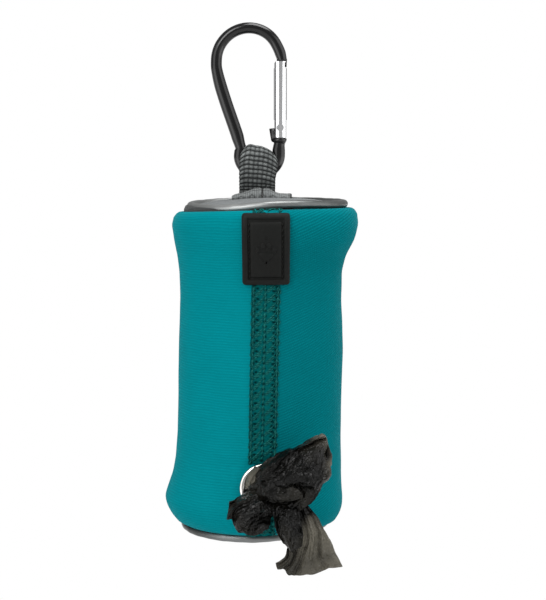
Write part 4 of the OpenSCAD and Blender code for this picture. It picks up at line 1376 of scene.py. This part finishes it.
@dataclass
class Webbing:
    """The webbing loop: one band sewn into the lid at both ends and laid over the hook's lower bend."""

    left: Curve = Curve((94.0, 101.0, 104.0, 107.5, 109.5), (-5.8, -5.8, -5.85, -5.2, -4.8), 0.5)
    right: Curve = Curve((94.0, 99.5, 101.5, 105.0, 106.5), (4.2, 4.3, 4.75, 5.05, 5.1), 0.5)
    half: float = 5.1
    thick: float = 1.25
    leg_gap: float = 2.45
    foot_z: float = 95.3
    pinch_z: float = 98.6
    pinch_gap: float = 0.66
    round_r: float = 0.5
    row: float = 1.21
    column: float = 1.25
    start: float = 40.0
    # The top line is rounded at the left, and falls and curls down to the right.
    crest: Curve = Curve(
        (-6.2, -5.2, -4.4, -3.4, -2.2, -0.6, 0.5, 1.5, 2.4, 3.4, 4.3, 5.0),
        (107.0, 108.3, 108.95, 109.2, 108.8, 108.6, 108.3, 107.9, 107.3, 106.5, 105.4, 104.6), 0.35)

    def middle(self, x: Array, t: Array) -> tuple[Array, Array]:
        """The band's middle line at a sideways place: leg, half circle round the wire, and leg.

        Args:
            x: Sideways places.
            t: Shares of the line, from the front foot to the back foot.

        Returns:
            Distances in front of or behind the axis, and heights.
        """
        radius = self.leg_gap
        centre = self.crest(x) - self.thick / 2 - radius
        arc = math.pi * radius
        leg = centre - self.foot_z
        whole = arc + 2 * leg
        s = t * whole
        front, back = s < leg, s > leg + arc
        angle = np.clip((s - leg) / radius, 0, math.pi)
        over = centre + radius * np.sin(angle)
        z = np.where(front, self.foot_z + s, np.where(back, self.foot_z + whole - s, over))
        y = np.where(front, -radius, np.where(back, radius, -radius * np.cos(angle)))
        pinch = 1 - smooth_step(z, self.foot_z + 0.8, self.pinch_z + 1.2)
        y = y * (1 - pinch) + np.sign(y) * self.pinch_gap * pinch
        return y, z

    def band(self) -> Skin:
        """A rounded flat profile carried along the middle line, with scalloped selvedges."""
        half, body, edge = self.half, self.half - self.round_r, np.linspace(0, math.pi, 7)
        flat = np.linspace(1, -1, 92)[1:-1]
        face, bulge = np.full(len(flat), self.thick / 2), 0.85 * self.thick / 2 * np.cos(edge)
        turn = body + self.round_r * np.sin(edge)
        u = np.concatenate([flat * body, -turn, flat[::-1] * body, turn])
        h = np.concatenate([face, bulge, -face, -bulge])
        tt, uu = np.meshgrid(np.linspace(0, 1, 280), u, indexing="ij")
        y, z = self.middle(uu - 0.75, tt)
        low, high = self.left(z), self.right(z)
        x = low + (high - low) * (uu + half) / (2 * half)
        way_y, way_z = np.gradient(y, axis=0), np.gradient(z, axis=0)
        norm = np.maximum(np.hypot(way_y, way_z), 1e-9)
        out_y, out_z = -way_z / norm, way_y / norm
        long = np.concatenate([[0], np.cumsum(norm[1:, len(u) // 4])])
        ridge = np.abs(np.sin(math.pi * long / self.row))[:, None]
        bead = ridge * (0.4 + 0.6 * np.abs(np.sin(math.pi * (uu + self.start) / self.column)))
        ripple = 0.1 * value_noise(np.stack([x * 0.35, y * 0.35, z * 0.35], -1), 8)
        proud = h + np.sign(h) * 0.17 * (bead - 0.5) + ripple
        side = 0.12 * (ridge - 0.5) * smooth_step(np.abs(uu), half - 1.0, half)
        points = np.stack([x + side * np.sign(uu), y + out_y * proud, z + out_z * proud], -1)
        wide = np.append(u, u[0] + 0.01) + self.start
        v, w = np.meshgrid(np.append(long, long[-1] + 0.2), wide, indexing="ij")
        return grid_skin(points, np.stack([w, v], -1), wrap_cols=True, cap=True)

    def build(self) -> None:
        """Makes the band between the loop and the lid, on no body."""
        piece = make_object("webbing_band", self.band(), Finish.WEBBING.material())
        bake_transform(piece)
        report(piece, "webbing", "loop_webbing", "loop_foot")


@dataclass
class AnchorTape:
    """The folded tape on each side of the loop's foot: a soft hump that thins to a heat-cut tail."""

    half: float = 3.5
    panel_z: float = 93.85

    def side(self, name: str, node: str, stops: Sequence[float], tops: Sequence[float]) -> None:
        """Makes one tape from its sideways stops and their heights, laid on the lid's panel."""
        x = np.linspace(stops[0], stops[-1], 60)
        top = Curve(tuple(stops), tuple(tops), 0.35)(x)
        ring = np.concatenate([np.linspace(-1, 1, 22), np.linspace(1, -1, 14)])
        upper = np.arange(len(ring)) < 22
        xx, yy = np.meshgrid(x, ring, indexing="ij")
        bulge = np.sqrt(np.clip(1 - np.abs(yy) ** 5, 0, 1))
        low = self.panel_z
        z = np.where(upper[None], low + (top[:, None] - low) * (0.25 + 0.75 * bulge), low - 0.15)
        wobble = 0.07 * value_noise(np.stack([xx * 0.8, yy * 2.0, z * 0 + 3], -1), 14)
        y = yy * self.half * (1 + 0.03 * np.sin(xx * 2.1))
        points = np.stack([xx, y, z + wobble * upper[None]], -1)
        skin = grid_skin(points, wrap_cols=True, cap=True).laid_flat(0, 1)
        add_piece(name, skin, Finish.ANCHOR_TAPE, node, body="lid")

    def build(self) -> None:
        """Makes both tapes, with a slit between them."""
        self.side("anchor_wing_left", "anchor_tape_left",
                  (-7.9, -7.1, -5.0, -3.0, -1.4, -0.4, 0.3, 0.62),
                  (94.6, 95.1, 95.7, 96.3, 97.0, 97.2, 97.1, 96.6))
        self.side("anchor_wing_right", "anchor_tape_right",
                  (0.67, 0.95, 1.8, 2.8, 3.6, 4.6, 5.6, 7.4, 8.6, 8.95),
                  (96.5, 96.95, 97.1, 96.8, 96.1, 95.6, 95.35, 95.3, 95.3, 95.0))


# ---- Bags ------------------------------------------------------------------------------------


@dataclass
class Roll:
    """The roll of bags: wound film with stepped ends, on its card core."""

    outer: float = 17.4
    inner: float = 6.6
    low: float = 1.6
    high: float = 63.4

    def build(self) -> None:
        """Makes the roll as a ring whose ends rise and fall with each layer."""
        r = np.linspace(self.inner, self.outer, 66)
        step = 0.12 * (1 + np.sin(r * 5.6)) + 0.06 * np.sin(r * 2.3)
        top = np.stack([r, self.high - 0.35 + step], 1)
        side_z = np.linspace(self.high - 0.8, self.low + 0.8, 26)
        side = np.stack([self.outer - 0.06 - 0.05 * np.sin(side_z * 1.1), side_z], 1)
        bottom = np.stack([r[::-1], self.low + 0.3 - step[::-1]], 1)
        skin = turned_skin(np.concatenate([top, side, bottom]), (0, 0, 0), "z", 120)
        add_piece("bag_roll_layers", skin, Finish.BAG_FILM, "bag_roll", body="roll")
        dress_nodes(bag_core=Finish.CORE_CARD)


@dataclass(frozen=True)
class Lobe:
    """One gathered lobe of film: a fan of pleats from the eyelet out to a crumpled edge.

    Its left, middle and right rails are each a line of stops as (x, depth in front, z).
    """

    name: str
    rails: tuple[tuple[tuple[float, float, float], ...], ...]
    pleats: float
    depth: float
    crumple: float
    # How much painted light shows through the single layer.
    lit_through: float
    seed: int
    frill: float = 0.0
    fan: float = 0.25
    # Where that painted light starts along the lobe, and how much painted shadow cuts it on the near side.
    lit_through_from: float = 0.7
    shadow: float = 0.0


class Lobes(Enum):
    """The lobes of the bag's end, as they hang out of the eyelet."""

    STEM = Lobe("stem", (
        ((-1.6, 19.5, 13.2), (-2.7, 23.8, 15.2), (-3.9, 25.8, 16.5), (-3.3, 26.8, 19.8),
         (-1.4, 27.5, 23.0)),
        ((0.6, 19.5, 13.8), (0.7, 24.5, 15.1), (1.2, 28.0, 16.4), (4.5, 29.5, 18.9)),
        ((2.3, 19.5, 12.4), (2.8, 24.5, 12.9), (3.9, 27.5, 12.7), (8.3, 28.5, 11.6))),
        pleats=2.5, depth=0.7, crumple=0.6, lit_through=0.6, seed=31, lit_through_from=0.35)
    UPPER = Lobe("upper", (
        ((-3.4, 26.2, 15.3), (-2.8, 27.0, 18.6), (-0.6, 28.0, 23.2), (4.5, 28.8, 26.4),
         (10.6, 29.6, 29.1), (14.1, 30.2, 31.8), (16.9, 30.6, 32.7)),
        ((-0.9, 27.5, 14.4), (1.0, 30.0, 16.3), (4.2, 32.0, 19.1), (8.5, 33.4, 22.1), (12.5, 33.8, 25.5),
         (15.9, 32.6, 28.2), (18.2, 31.0, 30.3)),
        ((0.1, 26.5, 12.5), (3.4, 28.5, 11.8), (8.2, 30.0, 11.1), (13.1, 30.6, 11.2), (16.0, 31.0, 15.9),
         (18.2, 30.6, 20.5), (19.6, 30.0, 24.5))),
        pleats=2.2, depth=1.0, crumple=1.9, lit_through=0.9, seed=47, frill=0.6, fan=0.2, lit_through_from=0.82)
    BACK = Lobe("back", (
        ((0.7, 25.5, 21.4), (4.5, 26.2, 25.4), (9.9, 27.0, 28.0), (13.4, 27.5, 30.3), (16.3, 28.0, 31.7)),
        ((2.3, 26.5, 16.1), (6.6, 27.6, 19.6), (11.5, 28.6, 23.6), (15.8, 28.8, 27.8), (18.7, 28.6, 29.1)),
        ((3.4, 26.0, 11.8), (8.8, 27.2, 10.7), (14.5, 28.0, 12.8), (17.4, 28.2, 18.6), (19.4, 28.2, 23.0))),
        pleats=1.4, depth=0.5, crumple=0.9, lit_through=1.0, seed=53, frill=0.4, fan=0.15, lit_through_from=0.8)
    FLAP = Lobe("flap", (
        ((0.7, 28.5, 20.3), (3.4, 30.6, 22.4), (6.3, 31.6, 23.7), (9.8, 32.2, 24.9)),
        ((-0.4, 29.5, 17.3), (2.9, 32.4, 18.4), (6.3, 33.2, 19.2), (10.1, 33.4, 20.4)),
        ((-1.5, 28.8, 14.1), (2.3, 31.6, 14.4), (6.3, 32.8, 14.4), (10.9, 32.8, 14.8))),
        pleats=1.8, depth=0.6, crumple=1.1, lit_through=0.1, seed=59, frill=1.3, fan=0.2)
    FRILL = Lobe("frill", (
        ((0.7, 26.0, 17.6), (-2.5, 28.0, 16.9), (-5.0, 29.4, 15.0), (-6.2, 30.2, 14.3), (-7.7, 31.0, 14.2)),
        ((2.3, 27.5, 15.2), (0.2, 30.6, 14.2), (-2.8, 32.4, 12.7), (-4.9, 33.0, 10.7), (-7.1, 32.6, 7.3)),
        ((5.0, 27.0, 12.6), (3.9, 29.4, 11.2), (2.9, 31.0, 9.4), (2.1, 31.8, 7.1), (0.4, 31.8, 4.6))),
        pleats=2.4, depth=1.15, crumple=1.1, lit_through=0.05, seed=61, frill=0.9, fan=0.3)
    FLARE = Lobe("flare", (
        ((5.6, 26.5, 11.9), (7.2, 28.4, 8.2), (8.0, 29.0, 2.9), (7.2, 29.0, -1.5), (4.6, 28.4, -3.6)),
        ((9.3, 28.0, 12.8), (10.9, 30.0, 8.6), (12.0, 30.8, 3.3), (11.7, 31.0, -2.1), (10.1, 30.8, -6.2)),
        ((12.6, 27.5, 12.7), (15.1, 28.8, 10.3), (17.7, 29.6, 5.5), (20.1, 30.0, 1.2), (22.3, 30.0, -3.9))),
        pleats=3.4, depth=0.75, crumple=0.75, lit_through=1.0, seed=73, frill=0.6,
        fan=0.42, lit_through_from=0.25, shadow=0.7)
    TONGUE = Lobe("tongue", (
        ((3.9, 28.5, 13.8), (3.4, 31.0, 10.5), (3.9, 32.0, 7.7), (4.6, 32.4, 5.3), (6.3, 32.6, 2.7)),
        ((6.6, 29.5, 14.0), (6.3, 32.2, 10.7), (7.1, 33.2, 7.4), (7.9, 33.4, 4.5), (9.3, 33.2, 0.9)),
        ((9.9, 29.0, 13.3), (10.9, 31.4, 10.6), (11.4, 32.2, 7.5), (11.7, 32.4, 4.8), (11.4, 32.4, 2.1))),
        pleats=1.6, depth=0.75, crumple=0.6, lit_through=0.1, seed=83, frill=0.4, fan=0.3)


@dataclass
class BagTail:
    """The crumpled end of the first bag, pulled out through the eyelet."""

    rows: int = 150
    cols: int = 150
    film: float = 0.05
    neck: tuple[float, float] = (20.3, 26.8)

    @staticmethod
    def facets(place: Array, seed: int, along: Sequence[float] = (0.0, 0.0, 0.0)) -> Array:
        """Crumpled film's height in millimetres: triangle waves in chance directions, each only here and there.

        Args:
            place: Places in millimetres.
            seed: Which crumple.
            along: The direction the creases run, as a unit vector, or nothing for none.

        Returns:
            The sum over directions d of 0.2 * length * (length / longest)^0.6 times the triangle wave
            |2 fract(p.d / length) - 1| - 1/2, where each length is 0.8 of the one before.
        """
        rng = np.random.default_rng(seed)
        run, longest = np.array(along), 9.5
        place = place - 0.55 * (place @ run)[..., None] * run
        bent = place + 0.9 * np.stack([value_noise(place * 0.22 + 3 * k, seed + k) for k in range(3)], -1)
        total = np.zeros(place.shape[:-1])
        for step in range(11):
            length = longest * 0.8**step
            way = unit(rng.normal(size=3) * np.array((1.0, 0.5, 1.0)))
            wave = np.abs((bent @ way / length + rng.uniform()) % 1.0 * 2 - 1) - 0.5
            here = smooth_step(value_noise(place / (length * 1.1) + 7 * step, seed + 20 + step), -0.05, 0.35)
            total += 0.2 * length * (length / longest) ** 0.6 * wave * (0.12 + 0.88 * here)
        return total

    def sheet(self, lobe: Lobe) -> tuple[Skin, Array, float]:
        """One lobe as a sheet: a fan over its three rails, pushed in and out by pleats and crumples.

        Args:
            lobe: The lobe's rails and how it crumples.

        Returns:
            The sheet, its share of painted light through one layer at each point, and its area in square
            millimetres.
        """
        s = np.linspace(0, 1, self.rows)
        kernel = np.exp(-np.linspace(-1.6, 1.6, 25) ** 2)
        kernel /= kernel.sum()

        def rail(stops: Sequence[Sequence[float]]) -> Array:
            """A rail with even stops, its corners blurred."""
            table = np.array(stops)
            at = np.linspace(0, 1, len(table))
            line = np.stack([np.interp(s, at, table[:, k]) for k in range(3)], 1)
            first, last = 2 * line[:1] - line[12:0:-1], 2 * line[-1:] - line[-2:-14:-1]
            padded = np.concatenate([first, line, last])
            return np.stack([np.convolve(padded[:, k], kernel, mode="valid") for k in range(3)], 1)

        left, middle, right = (rail(stops)[:, None] for stops in lobe.rails)
        ss, tt = np.meshgrid(s, np.linspace(0, 1, self.cols), indexing="ij")
        t = tt[..., None]
        base = left * (1 - t) * (1 - 2 * t) + middle * 4 * t * (1 - t) + right * t * (2 * t - 1)
        rng = np.random.default_rng(lobe.seed)
        bend = tt + 0.12 * value_noise(np.stack([ss * 2.5, tt * 2.2, ss * 0], -1), lobe.seed)
        phase = bend * lobe.pleats + rng.uniform()
        grow = 0.3 + 0.7 * smooth_step(ss, 0.0, 0.6)
        depth = (np.abs(phase % 1 * 2 - 1) - 0.5) * 2 * lobe.depth * grow
        fine = np.abs(phase * 3.3 % 1 * 2 - 1) - 0.5
        along = unit(np.array(lobe.rails[1][-1]) - np.array(lobe.rails[1][0]))
        depth = depth + fine * lobe.fan * grow + self.facets(base, lobe.seed, along) * lobe.crumple * grow
        shove = np.stack([self.facets(base + 40.0 * k, lobe.seed + k) for k in (1, 2)], -1)
        points = base.copy()
        points[..., [0, 2]] += 0.5 * shove * (lobe.crumple * grow)[..., None]
        ragged = lobe.frill * value_noise(np.stack([tt * 8.0, tt * 0, ss * 0 + lobe.seed], -1), lobe.seed + 9)
        ahead = unit(np.gradient(base, axis=0))
        points = points + ahead * (ragged * smooth_step(ss, 0.7, 1.0))[..., None]
        points[..., 1] = -(points[..., 1] + depth)
        cloud = value_noise(base * 0.22, lobe.seed + 4)
        # Painted light through one layer: it grows towards the lobe's end and is cut by the painted shadow.
        spread = smooth_step(ss + 0.1 * cloud, lobe.lit_through_from, lobe.lit_through_from + 0.22)
        lit_through = lobe.lit_through * spread * (0.7 + 0.3 * cloud)
        lit_through *= 1 - lobe.shadow * (1 - smooth_step(tt + 0.1 * cloud, 0.3, 0.62))
        a, b = points[1:, :-1] - points[:-1, :-1], points[:-1, 1:] - points[:-1, :-1]
        return grid_skin(points).laid_flat(0, 2), lit_through, float(np.linalg.norm(np.cross(a, b), axis=-1).sum())

    def build(self) -> None:
        """Makes every lobe, with the film's thickness; the stem runs from the eyelet to the lump and rides on
        no body.
        """
        for entry in Lobes:
            lobe, body = entry.value, "" if entry is Lobes.STEM else "tail"
            skin, lit_through, area = self.sheet(lobe)
            piece = make_object(f"bag_end_{lobe.name}", skin, Finish.BAG_FILM.material(), outward=False)
            # The painted light through one layer goes to the shader as an attribute.
            values = piece.data.attributes.new("lit_through_share", "FLOAT", "POINT")
            values.data.foreach_set("value", np.clip(lit_through, 0, 1).ravel())
            solid = piece.modifiers.new("film", "SOLIDIFY")
            solid.thickness = self.film * MM
            solid.offset = 0.0
            if not body:
                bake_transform(piece)
            report(piece, "bag_film", "bag_tail", body=body)


# ---- Studio ----------------------------------------------------------------------------------


@dataclass
class Studio:
    """The pale floor, soft lamps, white surroundings and the camera."""

    floor_z: float = -0.33
    floor_r: float = 4000.0
    soft_light: float = 0.36
    aim: tuple[float, float, float] = (0.003, 0.0, -0.075)
    lens: float = 104.3
    eye: tuple[float, float, float] = (0.006615, -0.490, -0.02595)
    pitch: float = 5.684

    def world(self) -> None:
        """White where the camera or clear film looks, and a plain grey level for soft light."""
        world = bpy.data.worlds.new("studio")
        bpy.context.scene.world = world
        world.use_nodes = True
        back = world.node_tree.nodes["Background"]
        tree = Tree(world.node_tree)
        path = tree.add("ShaderNodeLightPath").outputs
        seen = Wire(tree, path["Is Camera Ray"]).do("MAXIMUM", Wire(tree, path["Is Transmission Ray"]))
        tree.fill(back.inputs["Strength"], seen.ramp(0, 1, self.soft_light, 1.0))
        back.inputs["Color"].default_value = (1, 1, 1, 1)

    def floor(self) -> None:
        """A wide disc below the part: it takes the shadow near the middle and is plain white far out."""
        rho, angle = np.meshgrid(np.linspace(0.001, 1, 24) ** 1.5 * self.floor_r, np.arange(64) * TURN / 64,
                                 indexing="ij")
        low = self.floor_z / MM + HANG[2]
        points = np.stack([rho * np.cos(angle), rho * np.sin(angle), rho * 0 + low], -1)
        look = Look("floor_paper", Base_Color=(0.82, 0.82, 0.82), Roughness=0.9, Specular_IOR_Level=0.1)
        length = look.wire("ShaderNodeVectorMath", {0: look.objects}, "Value", operation="LENGTH")
        path = look.add("ShaderNodeLightPath").outputs
        seen = [Wire(look, path[f"Is {ray} Ray"]) for ray in ("Camera", "Glossy", "Transmission")]
        glow = length.ramp(0.4, 0.6) * reduce(lambda one, other: one.do("MAXIMUM", other), seen)
        light = look.wire("ShaderNodeEmission", {"Color": (1.0, 1.0, 1.0), "Strength": 1.0})
        mixed = look.wire("ShaderNodeMixShader", {0: glow, 1: Wire(look, look.shader.outputs[0]), 2: light})
        look.fill(look.tree.nodes["Material Output"].inputs["Surface"], mixed)
        piece = make_object("floor", grid_skin(points, wrap_cols=True), look.material, outward=False)

    def lamp(self, name: str, at: Sequence[float], size: tuple[float, float], power: float) -> None:
        """A soft lamp aimed at the pouch."""
        data = bpy.data.lights.new(name, "AREA")
        data.shape = "RECTANGLE"
        data.size, data.size_y = size
        data.energy = power
        lamp = bpy.data.objects.new(name, data)
        bpy.context.scene.collection.objects.link(lamp)
        lamp.location = at
        lamp.rotation_euler = (Vector(self.aim) - Vector(at)).to_track_quat("-Z", "Y").to_euler()

    def camera(self) -> None:
        """The camera in front, a little above the middle and tipped down."""
        data = bpy.data.cameras.new("camera")
        data.sensor_fit = "AUTO"
        data.sensor_width = 36.0
        data.lens = self.lens
        data.clip_start, data.clip_end = 0.01, 20.0
        camera = bpy.data.objects.new("camera", data)
        bpy.context.scene.collection.objects.link(camera)
        camera.location = self.eye
        camera.rotation_euler = (math.radians(90 - self.pitch), 0, 0)
        bpy.context.scene.camera = camera

    def build(self) -> None:
        """Makes the studio."""
        self.world()
        self.floor()
        self.lamp("key", at=(-0.35, -0.6, 0.45), size=(0.35, 0.5), power=3.1)
        self.lamp("left", at=(-0.5, -0.42, 0.0), size=(0.5, 0.8), power=1.95)
        self.lamp("right", at=(0.55, -0.15, 0.03), size=(0.66, 0.8), power=2.5)
        self.lamp("top", at=(0.15, -0.05, 0.6), size=(0.5, 0.4), power=4.1)
        bpy.context.scene.view_settings.view_transform = "Standard"
        self.camera()


def main() -> None:
    """Builds the studio and every sub-assembly in order."""
    logging.basicConfig(level=logging.INFO, format="%(message)s")
    for part in (
            Studio(), Sleeve(), Seam(), Badge(), Eyelet(),
            Piping("lid_piping", ("top_piping", "top_piping_cord"), "lid",
                   shift=2.05, ring_r=21.5, tube_r=1.12, heights=LID_EDGE),
            EndPanel("lid_panel", "top_panel", "lid",
                     shift=2.05, radius=20.9, middle=94.3, thick=0.9, edge=LID_EDGE),
            Piping("foot_piping", ("bottom_piping", "bottom_piping_cord"), "pouch",
                   shift=-1.4, ring_r=20.1, tube_r=1.12, heights=LEVEL),
            EndPanel("foot_panel", "bottom_panel", "pouch",
                     shift=-1.4, radius=19.6, middle=0.75, thick=-0.5, edge=FOOT_EDGE),
            Zip(), Webbing(), AnchorTape(), Hook(), Roll(), BagTail()):
        part.build()


if __name__ == "__main__":
    main()
